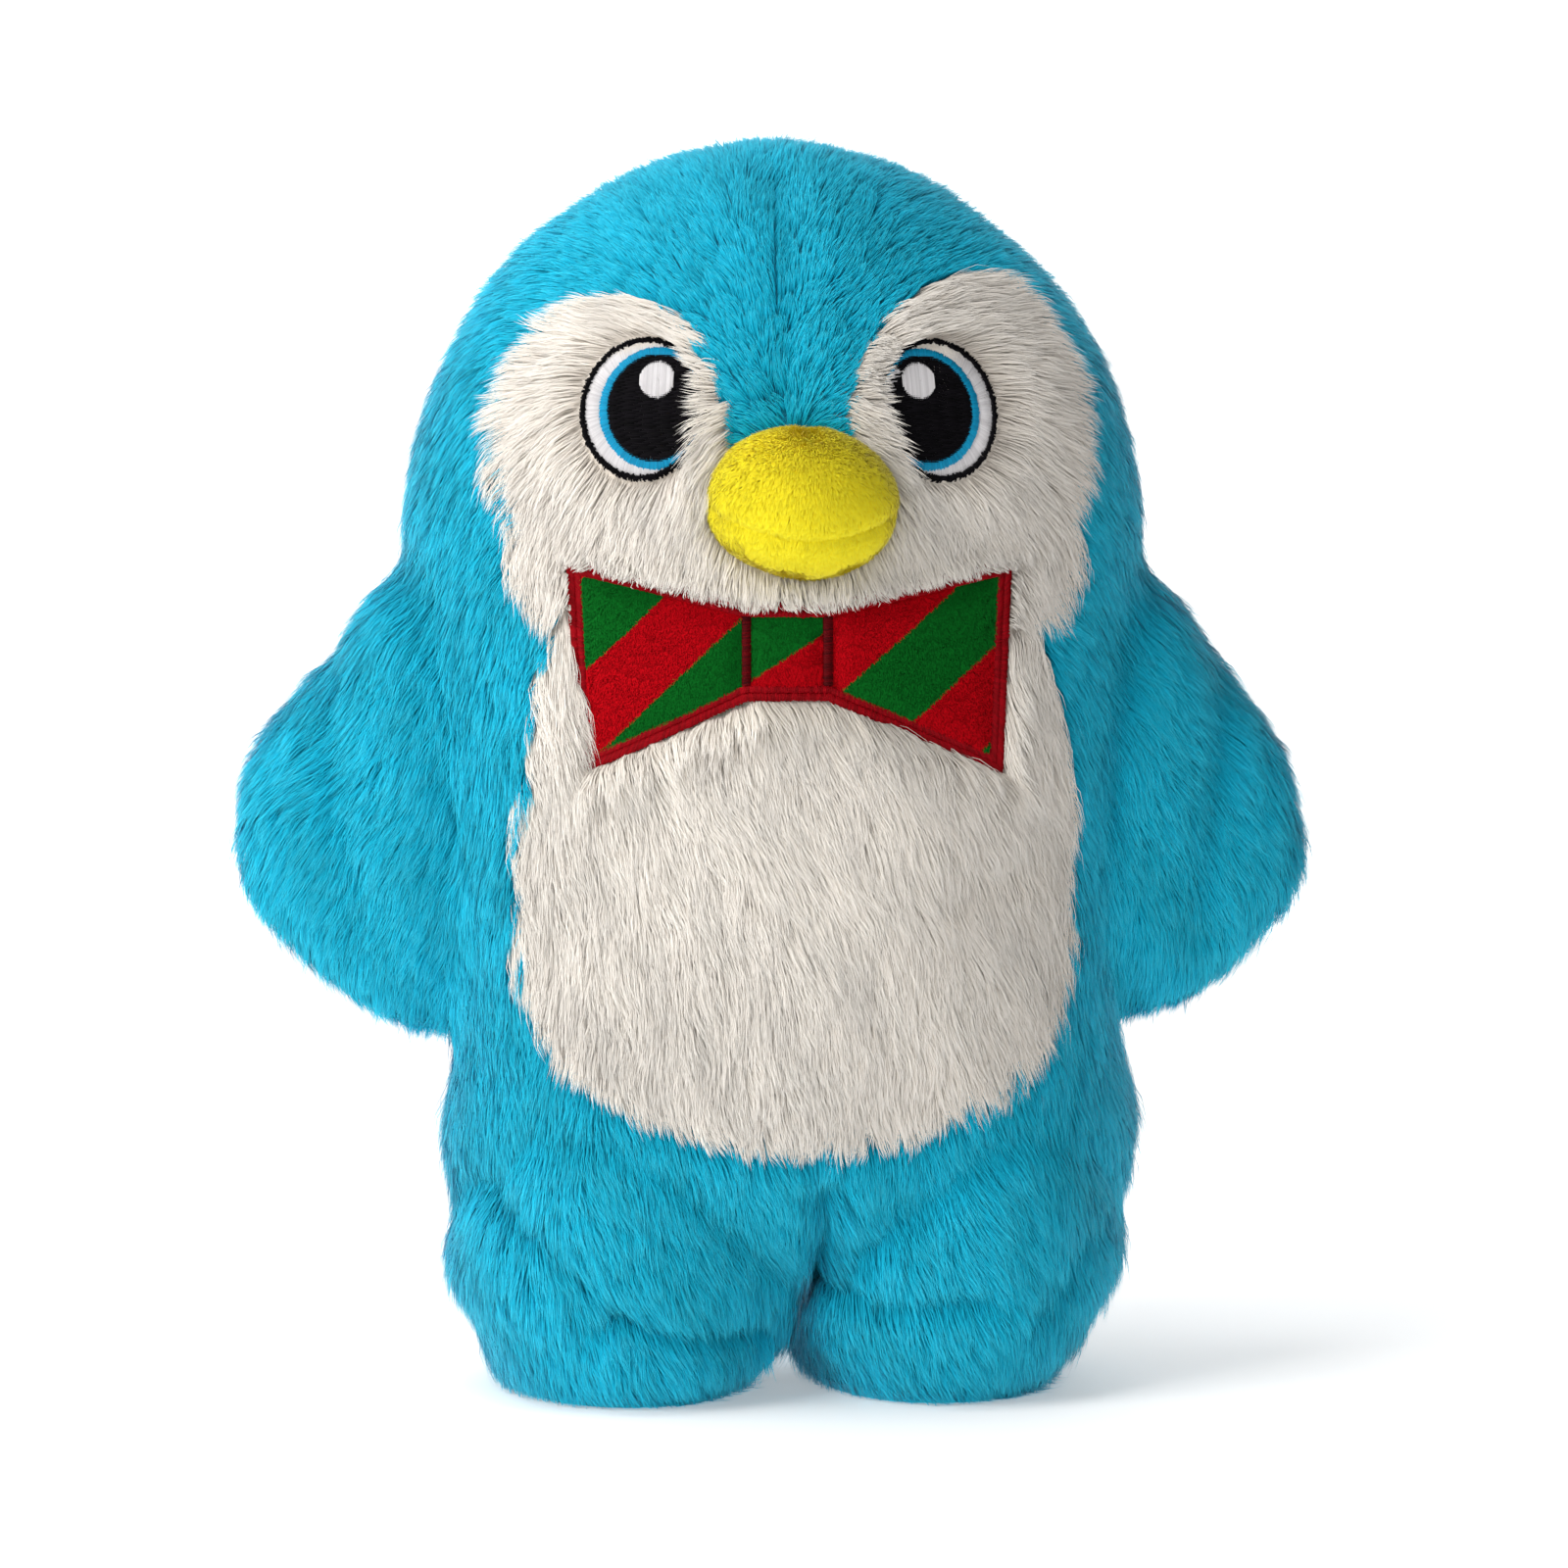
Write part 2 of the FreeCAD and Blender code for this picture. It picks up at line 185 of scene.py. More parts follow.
def noise(nodes, links, scale, detail=3.0):
    node = nodes.new("ShaderNodeTexNoise")
    node.inputs["Scale"].default_value = scale
    node.inputs["Detail"].default_value = detail
    links.new(nodes.new("ShaderNodeTexCoord").outputs["Object"], node.inputs["Vector"])
    return node.outputs["Fac"]


def strand_map(nodes, links):
    """U and V of the strands' map: U is a strand's own value, and V runs from its root to its tip."""
    uv = nodes.new("ShaderNodeUVMap")
    uv.uv_map = "OFBake"
    split = nodes.new("ShaderNodeSeparateXYZ")
    links.new(uv.outputs["UV"], split.inputs[0])
    return split.outputs["X"], split.outputs["Y"]


def fur_material(name, root, low, high, tip, gloss=0.08):
    """Colour along a strand from the map's V, darker at the root as painted shade and lighter at the tip as
    painted sheen, and each strand's own shade from its U.
    """
    material, nodes, links, shader = new_material(name, 0.62, 0.2, 0.35, gloss)
    shader.inputs["Specular Tint"].default_value = (*tip, 1)
    u, v = strand_map(nodes, links)
    # Darker at the root as painted shade inside the pile, lighter at the tip as painted sheen.
    along = colour_of(v, nodes, links, [(0.0, root), (0.3, low), (0.7, high), (1.0, tip)])
    own = colour_of(u, nodes, links, [(0.0, (0.74,) * 3), (0.5, (0.96,) * 3), (1.0, (1.1,) * 3)])
    links.new(product(nodes, links, along, own), shader.inputs["Base Color"])
    return material


def cloth_material(name, dark, light, scale, depth):
    """Plain fabric: mottled colour and a fine woven or felted relief."""
    material, nodes, links, shader = new_material(name, 0.8, 0.3)
    blotches = noise(nodes, links, scale / 6)
    links.new(colour_of(blotches, nodes, links, [(0.3, dark), (0.7, light)]), shader.inputs["Base Color"])
    relief = nodes.new("ShaderNodeBump")
    relief.inputs["Strength"].default_value = 0.6
    relief.inputs["Distance"].default_value = depth
    links.new(noise(nodes, links, scale, 4.0), relief.inputs["Height"])
    links.new(relief.outputs["Normal"], shader.inputs["Normal"])
    return material


# Root, low, high and tip colours of each pile: the darker roots are painted shade deep in the pile, the lighter
# tips painted sheen.
BLUE = ((0.002, 0.17, 0.28), (0.004, 0.36, 0.55), (0.012, 0.52, 0.74), (0.06, 0.70, 0.90))
WHITE = ((0.74, 0.67, 0.59), (0.85, 0.79, 0.71), (0.92, 0.87, 0.80), (0.96, 0.93, 0.88))
YELLOW = ((0.95, 0.70, 0.008), (1.0, 0.82, 0.014), (1.0, 0.88, 0.03), (1.0, 0.92, 0.06))
RED = (0.62, 0.0, 0.006)
GREEN = (0.002, 0.17, 0.016)

blue_fur = fur_material("blue_pile", *BLUE, gloss=0.4)
white_fur = fur_material("white_pile", *WHITE)
yellow_fur = fur_material("yellow_short_pile", *YELLOW)
blue_cloth = cloth_material("blue_backing", BLUE[0], BLUE[1], 900, 0.0006)
white_cloth = cloth_material("white_backing", WHITE[0], WHITE[1], 900, 0.0006)
yellow_cloth = cloth_material("yellow_backing", YELLOW[0], YELLOW[1], 1200, 0.0005)
fill_cloth = cloth_material("fibre_fill", (0.7, 0.7, 0.68), (0.9, 0.9, 0.88), 300, 0.002)
sole_cloth = cloth_material("sole_fabric", BLUE[0], BLUE[1], 1500, 0.0004)


def thread_material(name, dark, light, roughness=0.45, gloss=0.2):
    """Satin thread: U is the thread's own shade and V runs along it."""
    material, nodes, links, shader = new_material(name, roughness, 0.0, 0.3, gloss)
    shade = strand_map(nodes, links)[0]
    links.new(colour_of(shade, nodes, links, [(0.0, dark), (1.0, light)]), shader.inputs["Base Color"])
    return material


black_thread = thread_material("black_thread", (0.0012, 0.001, 0.0015), (0.005, 0.004, 0.006), 0.6, 0.08)
blue_thread = thread_material("iris_thread", (0.001, 0.24, 0.44), (0.003, 0.38, 0.64))
white_thread = thread_material("white_thread", (0.62, 0.60, 0.61), (0.80, 0.78, 0.79))
red_thread = thread_material("red_thread", (0.22, 0.0, 0.003), (0.42, 0.001, 0.008), 0.6, 0.1)
dark_red_thread = thread_material("dark_red_thread", (0.05, 0.0, 0.001), (0.15, 0.0, 0.003), 0.6, 0.1)


def tie_material(name, from_uv):
    """Red and green stripes: from U on the pile's fibres, or from the stripe attribute on the cloth."""
    material, nodes, links, shader = new_material(name, 0.8, 0.05, 0.4, 0.08)
    if from_uv:
        phase, along = strand_map(nodes, links)
        # The velour fibres are darker at the root as painted shade and lighter at the tip as painted sheen.
        shade = colour_of(along, nodes, links, [(0.0, (0.55,) * 3), (1.0, (1.15,) * 3)])
    else:
        attribute = nodes.new("ShaderNodeAttribute")
        attribute.attribute_name = "stripe"
        phase = attribute.outputs["Fac"]
        blotches = noise(nodes, links, 700)
        shade = colour_of(blotches, nodes, links, [(0.35, (0.55,) * 3), (0.65, (1.0,) * 3)])
    stripes = colour_of(phase, nodes, links, [(0.0, RED), (0.5, GREEN)], "CONSTANT")
    links.new(product(nodes, links, stripes, shade), shader.inputs["Base Color"])
    return material


tie_fur = tie_material("tie_velour_pile", True)
tie_cloth = tie_material("tie_velour", False)

# ---- meshes


def add_object(name, mesh, material, body, slot, *nodes):
    item = linked(name, mesh)
    mesh.materials.clear()
    mesh.materials.append(material)
    if body:
        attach(item, body)
    if nodes:
        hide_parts(*nodes)
    return item


def numpy_mesh(name, points, corners, starts, uv, normals=None):
    """A mesh from flat arrays: each face's corners follow one another from its start."""
    mesh = bpy.data.meshes.new(name)
    mesh.vertices.add(len(points))
    write(mesh.vertices, "co", points)
    mesh.loops.add(len(corners))
    write(mesh.loops, "vertex_index", corners, np.int32)
    mesh.polygons.add(len(starts))
    write(mesh.polygons, "loop_start", starts, np.int32)
    write(mesh.uv_layers.new(name="OFBake").data, "uv", uv[corners])
    mesh.update(calc_edges=True)
    if normals is not None:
        write(mesh.attributes.new("custom_normal", "FLOAT_VECTOR", "POINT").data, "vector", normals)
    return mesh


def merged(parts):
    """Several sets of points and faces as one."""
    points, faces, count = [], [], 0
    for co, polygons in parts:
        points.append(co)
        faces += [tuple(v + count for v in polygon) for polygon in polygons]
        count += len(co)
    return np.concatenate(points), faces


def joined(nodes):
    """The CAD nodes' triangles as one set of points and faces."""
    meshes = [frame["nodes"][node].data for node in nodes]
    return merged([(read(m.vertices, "co"), [p.vertices for p in m.polygons]) for m in meshes])


def remeshed(name, points, faces, voxel, smoothing):
    """One closed smooth surface round a set of solids."""
    mesh = bpy.data.meshes.new(name)
    mesh.from_pydata(points.tolist(), [], faces)
    item = linked(name, mesh)
    remesh = item.modifiers.new("voxels", "REMESH")
    remesh.mode = "VOXEL"
    remesh.voxel_size = voxel
    smooth = item.modifiers.new("smooth", "SMOOTH")
    smooth.factor = 0.5
    smooth.iterations = smoothing
    depsgraph = bpy.context.evaluated_depsgraph_get()
    result = bpy.data.meshes.new_from_object(item.evaluated_get(depsgraph))
    bpy.data.objects.remove(item)
    return result


def vertex_array(mesh):
    return read(mesh.vertices, "co").astype(float)


def normal_array(mesh):
    return read(mesh.vertices, "normal").astype(float)


def set_vertices(mesh, co):
    write(mesh.vertices, "co", co)
    mesh.update()


def sink(mesh, depth):
    """Moves a surface's points inward, by one depth in metres or by one for each point."""
    set_vertices(mesh, vertex_array(mesh) - normal_array(mesh) * np.reshape(depth, (-1, 1)))


def ball(subdivisions):
    """The mesh of a sphere with a radius of 1."""
    bpy.ops.mesh.primitive_ico_sphere_add(subdivisions=subdivisions, radius=1.0)
    item = bpy.context.object
    mesh = item.data
    bpy.data.objects.remove(item)
    return mesh


def shell_mesh(name, top, bottom, faces):
    """A closed shell: the faces on the top points, the same ones on the bottom, and a rim between."""
    count = len(top)
    edges = {edge for face in faces for edge in zip(face, face[1:] + face[:1])}
    rims = [(b, a, a + count, b + count) for a, b in sorted(edges) if (b, a) not in edges]
    under = [tuple(v + count for v in reversed(face)) for face in faces]
    mesh = bpy.data.meshes.new(name)
    mesh.from_pydata(np.concatenate([top, bottom]).tolist(), [], faces + under + rims, shade_flat=False)
    return mesh


def submesh(name, mesh, chosen, thickness):
    """The chosen faces of a surface as a closed shell of that thickness, inward."""
    co, normal = vertex_array(mesh), normal_array(mesh)
    faces = [tuple(mesh.polygons[i].vertices) for i in np.flatnonzero(chosen)]
    used = sorted({v for face in faces for v in face})
    index = {v: i for i, v in enumerate(used)}
    outer = [tuple(index[v] for v in face) for face in faces]
    return shell_mesh(name, co[used], co[used] - normal[used] * thickness, outer)


# ---- the stuffed bag's surface


def dent(mesh, path, depth, width, front=True):
    """Presses a soft crease into the surface along a path of (x, z) points, in millimetres."""
    co = vertex_array(mesh)
    flat = co[:, [0, 2]]
    nearest = np.full(len(co), 1e9)
    points = np.array(path) * MM
    for a, b in zip(points[:-1], points[1:]):
        t = np.clip(((flat - a) @ (b - a)) / np.sum((b - a) ** 2), 0, 1)
        nearest = np.minimum(nearest, np.linalg.norm(flat - (a + t[:, None] * (b - a)), axis=1))
    facing = (co[:, 1] < AXIS_Y) if front else (co[:, 1] > AXIS_Y)
    sink(mesh, depth * MM * np.exp(-((nearest / (width * MM)) ** 2)) * facing)


def relax(mesh, weight, rounds):
    """Evens a surface out where the weight says so, which rounds off its inner corners."""
    edges = read(mesh.edges, "vertices", 2, np.int32)
    first, second = edges.T
    count = np.bincount(edges.ravel(), minlength=len(mesh.vertices))[:, None]
    co = vertex_array(mesh)
    for _ in range(rounds):
        total = np.zeros_like(co)
        for axis in range(3):
            total[:, axis] = np.bincount(first, co[second, axis], len(co))
            total[:, axis] += np.bincount(second, co[first, axis], len(co))
        co += (total / count - co) * weight[:, None] * 0.6
    set_vertices(mesh, co)


def seam_x(z):
    """Half the distance between the two wings' seams at a height."""
    return HINGE["left"][0] + (z - HINGE["left"][2]) * SEAM_LEAN


WING_WIDTH, WING_DEPTH, WING_INSET = 1.12, 0.8, 8 * MM  # against the CAD wing, and moved into the body
WING_RISE = {"left": (1.02, 0.97), "right": (0.93, 1.03)}  # above and below the hinge's middle
SHOULDER_HALF = np.array([17, 21, 52])


def fill_of_wing(side, sign):
    """A wing's form under its pile, reaching well into the body's side."""
    points, faces = joined([f"wing_front_{side}", f"wing_back_{side}", f"wing_stuffing_{side}"])
    local = points.astype(float) - HINGE[side]
    local[:, 0] = sign * (sign * local[:, 0] * WING_WIDTH - WING_INSET)
    local[:, 1] *= WING_DEPTH
    local[:, 2] *= np.where(local[:, 2] > 0, *WING_RISE[side])
    return local + HINGE[side], faces


def shoulder(side, sign):
    """A soft lump of fill where a wing leaves the body, so that the cloth runs over without a corner."""
    lump = ball(4)
    centre = HINGE[side] + np.array([-sign * 1, -2, 7]) * MM
    return vertex_array(lump) * SHOULDER_HALF * MM + centre, [tuple(p.vertices) for p in lump.polygons]


# The folds on the front: (x, z) points, depth and width, all in millimetres.
CREASES = [
    ([(0, 300), (1, 280), (0, 248)], 1.6, 5),
    ([(3, 62), (4, 44), (3, 18)], 6.5, 5),
    ([(-48, 27), (-34, 23), (-16, 24)], 4.6, 4),
    ([(-74, 60), (-64, 46), (-48, 31)], 3.0, 5),
    ([(12, 34), (26, 31), (40, 33)], 2.4, 5),
    ([(56, 30), (68, 46)], 2.4, 6),
    ([(-40, 150), (-46, 120)], 1.2, 12),
    ([(52, 138), (38, 131)], 1.5, 7),
]
BACK_SEAM = ([(0, 300), (0, 40)], 1.6, 5)
SKIN_RAISE, SKIN_WAVES = 2.4 * MM, 0.7 * MM
LEGS_TOGETHER, HIPS_ASIDE = 4.0 * MM, 3.6 * MM
FOOT_OUT_RIGHT, FOOT_OUT_LEFT = -2.4, 1.2


def skin_surface():
    """One skin round the bag and both wings, just outside their fill, with the toy's folds."""
    parts = [joined(["body_stuffing"])]
    for side, sign in SIDES:
        parts += [fill_of_wing(side, sign), shoulder(side, sign)]
    mesh = remeshed("skin", *merged(parts), 2.6 * MM, 8)
    co = vertex_array(mesh)
    near = np.exp(-(((np.abs(co[:, 0]) - seam_x(co[:, 2]) + 2 * MM) / (13 * MM)) ** 2))
    height = smoothstep(co[:, 2], WING_LOW - 0.02, WING_LOW)
    height *= 1 - smoothstep(co[:, 2], WING_HIGH, WING_HIGH + 0.02)
    relax(mesh, near * height, 40)

    for crease in CREASES:
        dent(mesh, *crease)
    dent(mesh, *BACK_SEAM, front=False)

    co, normal = vertex_array(mesh), normal_array(mesh)
    raised = smoothstep(co[:, 2:3], 0.004, 0.02)
    co += normal * (waves(co, 0.045, 3)[:, :1] * SKIN_WAVES + SKIN_RAISE) * raised
    between = np.exp(-((co[:, 0] / (15 * MM)) ** 2)) * smoothstep(co[:, 2], 0.006, 0.024)
    between *= 1 - smoothstep(co[:, 2], 0.034, 0.05)
    co[:, 0] -= np.sign(co[:, 0]) * np.minimum(np.abs(co[:, 0]) * 0.8, LEGS_TOGETHER * between)
    hips = smoothstep(co[:, 2], 0.0, 0.022) * (1 - smoothstep(co[:, 2], 0.07, 0.16))
    co[:, 0] += HIPS_ASIDE * hips
    feet = smoothstep(np.abs(co[:, 0]), 0.03, 0.06) * (1 - smoothstep(co[:, 2], 0.028, 0.05))
    co[:, 0] += np.where(co[:, 0] < 0, FOOT_OUT_RIGHT, FOOT_OUT_LEFT) * MM * feet
    behind_tie = chest_point(co[:, 0], co[:, 2], -0.9 * MM)[:, 1] + 1.2 * MM
    co[:, 1] = np.where(under_tie(co), np.maximum(co[:, 1], behind_tie), co[:, 1])
    set_vertices(mesh, co)
    return mesh


# Where the white is wider or narrower than in the CAD: height, spread, and share of the width.
WHITE_WIDTHS = ((0.203, 0.013, -0.05), (0.105, 0.026, -0.035), (0.168, 0.02, 0.03))


def panel_distances(mesh):
    """How far each point of the skin is from each panel, with the cover sewn on slightly turned."""
    co = vertex_array(mesh)
    face = smoothstep(co[:, 2], 0.2, 0.235)
    brow = smoothstep(co[:, 2], 0.235, 0.26)
    co[:, 0] -= 1.6 * MM - 3.2 * MM * np.exp(-((co[:, 0] / 0.026) ** 2)) * face
    for height, spread, wider in WHITE_WIDTHS:
        co[:, 0] *= 1 - wider * np.exp(-(((co[:, 2] - height) / spread) ** 2))
    co[:, 2] -= 2 * MM * (1 - smoothstep(co[:, 2], 0.07, 0.1))
    co[:, 2] += brow * np.clip(1.5 * MM - co[:, 0] * 0.09, -2 * MM, 5 * MM)
    points = [Vector(p) for p in co]
    columns = []
    for node in PANELS:
        corners, faces = joined([node])
        tree = BVHTree.FromPolygons(corners.tolist(), faces)
        columns.append([tree.find_nearest(p)[3] for p in points])
    return np.array(columns).T


BLEND_INSIDE, BLEND_OUTSIDE = 12 * MM, 15 * MM


def part_of_skin(p, distances):
    """For each point, the index of its panel, or past them: left wing front, back, then right."""
    index = np.argmin(distances, axis=1)
    level = (p[:, 2] > WING_LOW - 4 * MM) & (p[:, 2] < WING_HIGH + 6 * MM)
    for i, (side, sign) in enumerate(SIDES):
        out = level & (sign * p[:, 0] > seam_x(p[:, 2]) - BLEND_INSIDE)
        index = np.where(out, len(PANELS) + 2 * i + (p[:, 1] > AXIS_Y), index)
    return index


class Surface:
    """A triangulated surface that strands can be rooted on."""

    def __init__(self, mesh, chosen=None):
        mesh.calc_loop_triangles()
        self.triangles = read(mesh.loop_triangles, "vertices", 3, np.int32)
        if chosen is not None:
            polygon = read(mesh.loop_triangles, "polygon_index", 1, np.int32)[:, 0]
            self.triangles = self.triangles[chosen[polygon]]
        self.points, self.normals = vertex_array(mesh), normal_array(mesh)

    def scatter(self, density, *values):
        """Random roots, density to the square millimetre: points, normals and any values between."""
        a, b, c = (self.points[self.triangles[:, i]] for i in range(3))
        area = np.linalg.norm(np.cross(b - a, c - a), axis=1) / 2
        count = int(area.sum() / MM**2 * density)
        total = np.cumsum(area)
        spread = (np.arange(count) + rng.uniform(size=count)) / count * total[-1]
        pick = np.minimum(np.searchsorted(total, spread), len(total) - 1)
        u, v = rng.uniform(size=(2, count))
        flip = u + v > 1
        u[flip], v[flip] = 1 - u[flip], 1 - v[flip]
        weights = np.stack([1 - u - v, u, v], axis=1)
        corners = self.triangles[pick]
        blended = [np.einsum("nk,nkc->nc", weights, v[corners]) for v in (self.points, self.normals, *values)]
        blended[1] = unit(blended[1])
        return blended


# ---- fur

STRANDS_PER_PIECE = 39000
FLOOR_GAP = 0.4 * MM  # no strand goes nearer the floor


def strand_paths(root, normal, flow, length, lift, tufts, steps, wave):
    """Each strand's points: it rises, lies over along the flow, waves, and joins its tufts' tips."""
    t = np.linspace(0, 1, steps + 1)[None, :, None]
    height = lift[:, None, None] * (2 * t - t * t)
    reach = length[:, None, None] * t**1.15
    path = root[:, None] + normal[:, None] * height + flow[:, None] * reach
    for strands_each, tightness in tufts:
        seeds = rng.choice(len(root), max(1, len(root) // strands_each), replace=False)
        tree = KDTree(len(seeds))
        for i, seed in enumerate(seeds):
            tree.insert(root[seed], i)
        tree.balance()
        own_tuft = seeds[np.array([tree.find(p)[1] for p in root.tolist()])]
        path = path + (path[own_tuft] - path) * (tightness * t**1.6)
    sideways = np.cross(normal, flow)[:, None]
    phase = (3 * waves(root, 0.006, 41)[:, :1] + rng.normal(scale=0.5, size=(len(root), 1)))[:, None]
    return path + sideways * (wave * length[:, None, None] * t * np.sin(5.2 * t + phase))


def ribbon_mesh(name, path, normal, width, shade):
    """Flat tapered ribbons along the paths, shaded as if round, each with its own shade."""
    count, rows = path.shape[0], path.shape[1]
    run = unit(path[:, -1] - path[:, 0])
    side = unit(np.cross(run, normal))
    up = unit(np.cross(side, run))
    roll = rng.normal(scale=0.45, size=(count, 1))
    across = side * np.cos(roll) + up * np.sin(roll)
    outward = unit(np.cross(across, run))
    outward *= np.sign(np.sum(outward * normal, axis=1, keepdims=True) + 1e-9)
    taper = 1 - np.linspace(0, 1, rows)[:-1] ** 2 * 0.75
    half = across[:, None] * (width[:, None, None] / 2) * taper[None, :, None]
    left, right = path[:, :-1] - half, path[:, :-1] + half
    pairs = np.stack([left, right], axis=2).reshape(count, -1, 3)
    points = np.concatenate([pairs, path[:, -1:]], axis=1)
    soft = unit(0.9 * normal + 0.1 * outward)
    lean = np.tile([-1.0, 1.0], rows - 1)
    vertex_normals = soft[:, None] + across[:, None] * (0.25 * lean)[None, :, None]
    vertex_normals = np.concatenate([vertex_normals, soft[:, None]], axis=1)
    per = 2 * rows - 1
    faces, sizes = [], []
    for row in range(rows - 2):
        faces += [2 * row, 2 * row + 1, 2 * row + 3, 2 * row + 2]
        sizes.append(4)
    faces += [2 * rows - 4, 2 * rows - 3, 2 * rows - 2]
    sizes.append(3)
    corners = np.array(faces)[None] + (np.arange(count) * per)[:, None]
    starts = (np.cumsum([0] + sizes[:-1])[None] + (np.arange(count) * len(faces))[:, None]).ravel()
    v = np.linspace(0, 1, rows)
    u = np.clip(shade[:, None] + np.concatenate([0.004 * lean, [0]])[None], 0, 1)
    vv = np.concatenate([np.repeat(v[:-1], 2), v[-1:]])[None].repeat(count, 0)
    uv = np.stack([u, vv], axis=2).reshape(-1, 2)
    return numpy_mesh(
        name, points.reshape(-1, 3), corners.ravel(), starts, uv, unit(vertex_normals).reshape(-1, 3)
    )


def fur(name, root, normal, material, slot, body, comb, size, tufts=((90, 0.25), (10, 0.3)),
        steps=3, width=0.27, ruffle=0.2, wave=0.06, streaks=0.16):
    """Grows one panel's pile. comb gives the flow and size the length and lift, at each root."""
    flow = comb(root, normal)
    flow = flow + ruffle * waves(root, 0.014, 11) + 0.5 * ruffle * rng.normal(size=root.shape)
    flow = along_surface(flow, normal)
    length, lift = size(root)
    jitter = rng.uniform(0.7, 1.1, len(root))
    guard = rng.uniform(size=len(root)) < 0.2
    length = length * MM * jitter * np.where(guard, 1.15, 1.0)
    lift = lift * MM * jitter * rng.uniform(0.6, 1.2, len(root)) * np.where(guard, 1.3, 1.0)
    path = strand_paths(root, normal, flow, length, lift, tufts, steps, wave)
    path[:, :, 2] = np.maximum(path[:, :, 2], FLOOR_GAP)
    patches = waves(root, 0.03, 5)[:, 0] + waves(root, 0.005, 6)[:, 0]
    drift = 0.5 + streaks * patches + 0.08 * rng.normal(size=len(root))
    # Guard hairs get a lighter shade: painted sheen on the outermost strands.
    shade = np.clip(drift + 0.12 * guard, 0.01, 0.99)
    widths = width * MM * rng.uniform(0.7, 1.3, len(root)) * np.where(guard, 0.8, 1.0)
    order = np.argsort(root[:, 2], kind="stable")
    pieces = math.ceil(len(root) / STRANDS_PER_PIECE)
    made = []
    for i, part in enumerate(np.array_split(order, pieces)):
        label = f"{name}_{i + 1}" if pieces > 1 else name
        mesh = ribbon_mesh(label, path[part], normal[part], widths[part], shade[part])
        made.append(add_object(label, mesh, material, body, slot))
    return made


DOWN = np.array([0.0, 0.0, -1.0])
DRIFT = np.array([0.28, 0.0, 0.0])  # the pile lies a little towards the toy's left


def comb_body(root, normal):
    """Fanning up and out from the beak over the head, then straight down, and outward at the feet."""
    distance = np.linalg.norm(root - FOREHEAD, axis=1, keepdims=True)
    weight = smoothstep(distance, 0.03, 0.13)
    fan = unit((root - FOREHEAD + [0, 0, 24 * MM]) * [1.6, 1, 1])
    flow = fan * (1 - weight) + DOWN * weight
    flow = flow + 0.3 * waves(root, 0.012, 13) * (1 - smoothstep(distance, 0.012, 0.05))
    splay = smoothstep(-root[:, 2:3], -0.03, -0.002)
    outward = unit(normal * [1, 1, 0])
    flow = flow + outward * splay * 0.5 + (DRIFT + shoulder_flow(root)) * weight
    crown = smoothstep(normal[:, 2:3], 0.3, 0.85)
    outward = np.clip(root[:, :1] / 0.05, -1, 1) * [0.5, 0, 0]
    flow = along_surface(flow, normal) * (1 - crown) + (outward + [0, 1, 0]) * crown
    return along_surface(flow, normal)


def shoulder_flow(root):
    """The pull outwards beside the belly and over the shoulders, towards the wings."""
    side = np.abs(root[:, :1])
    amount = smoothstep(side, 0.045, 0.085) * smoothstep(root[:, 2:3], 0.09, 0.14)
    return amount * (1 - smoothstep(root[:, 2:3], 0.215, 0.26)) * np.sign(root[:, :1]) * [0.65, 0, 0]


def comb_wing(root, normal):
    """Down and outwards from the shoulder, and straight down along the lower edge."""
    upper = smoothstep(root[:, 2:3], 0.09, 0.17)
    return along_surface(DOWN + np.sign(root[:, :1]) * upper * [0.65, 0, 0], normal)


def comb_cheek(root, normal):
    """Outward from the bridge of the beak, and down."""
    away = unit(root - BRIDGE)
    away[:, 2] = np.minimum(away[:, 2], 0.3)
    below = smoothstep(-root[:, 2:3], -0.252, -0.215)
    side = np.clip(root[:, :1] / 0.04, -1, 1) * [0.2, 0, 0]
    flow = away * (1 - 0.85 * below) + DOWN * (0.3 + 0.9 * below) + DRIFT * 0.8 + side * below
    return along_surface(flow, normal)


def comb_belly(root, normal):
    return along_surface(DOWN + DRIFT * np.ones((len(root), 1)), normal)


def size_body(root):
    """Short on the forehead, long on the body, and standing out round the soles."""
    distance = np.linalg.norm(root - FOREHEAD, axis=1)
    long = smoothstep(distance, 0.02, 0.15)
    sole = 1 - smoothstep(root[:, 2], 0.006, 0.02)
    return 4.4 + 9.1 * long - 4.5 * sole, 2.6 + 2.5 * long + 2.0 * sole


def size_wing(root):
    return np.full(len(root), 13.0), np.full(len(root), 4.8)


def size_cheek(root):
    """Pile just above the tie is short and stands up, so that it only just hangs over the tie's edge."""
    distance = np.linalg.norm(root - BRIDGE, axis=1)
    long = smoothstep(distance, 0.015, 0.06)
    gap = (root[:, 2] - tie_top(root[:, 0])) / MM
    over = np.abs(root[:, 0]) < TIE_TOP_HALF + 0.001
    most = np.where(over, np.maximum(gap, 0) + 1.0, 99)
    near = np.where(over, 1 - smoothstep(gap, 3, 9), 0)
    beside, low = beside_eye(root)
    length = 7.0 + 3.5 * long + beside * (5.5 * low - np.where(root[:, 0] < 0, 2.0, 4.5))
    return np.minimum(length, most), 4.6 + 2.4 * near + 2.5 * beside * low


def beside_eye(p):
    """How close a root is to an eye's edge on the beak's side, and how low on that side."""
    amount, low = np.zeros(len(p)), np.zeros(len(p))
    for eye in EYES.values():
        u, v = (eye.flat(p) / eye.half).T
        close = smoothstep(-eye.sign * u, 0.2, 0.7) * (1 - smoothstep(np.hypot(u, v), 1.3, 1.7))
        low = np.where(close > amount, smoothstep(-v, -0.55, 0.25), low)
        amount = np.maximum(amount, close)
    return amount * (p[:, 1] < AXIS_Y), low


def size_belly(root):
    return 7.5 + 5.5 * smoothstep(root[:, 2], 0.068, 0.11), np.full(len(root), 4.8)


# ---- outlines on the face and chest

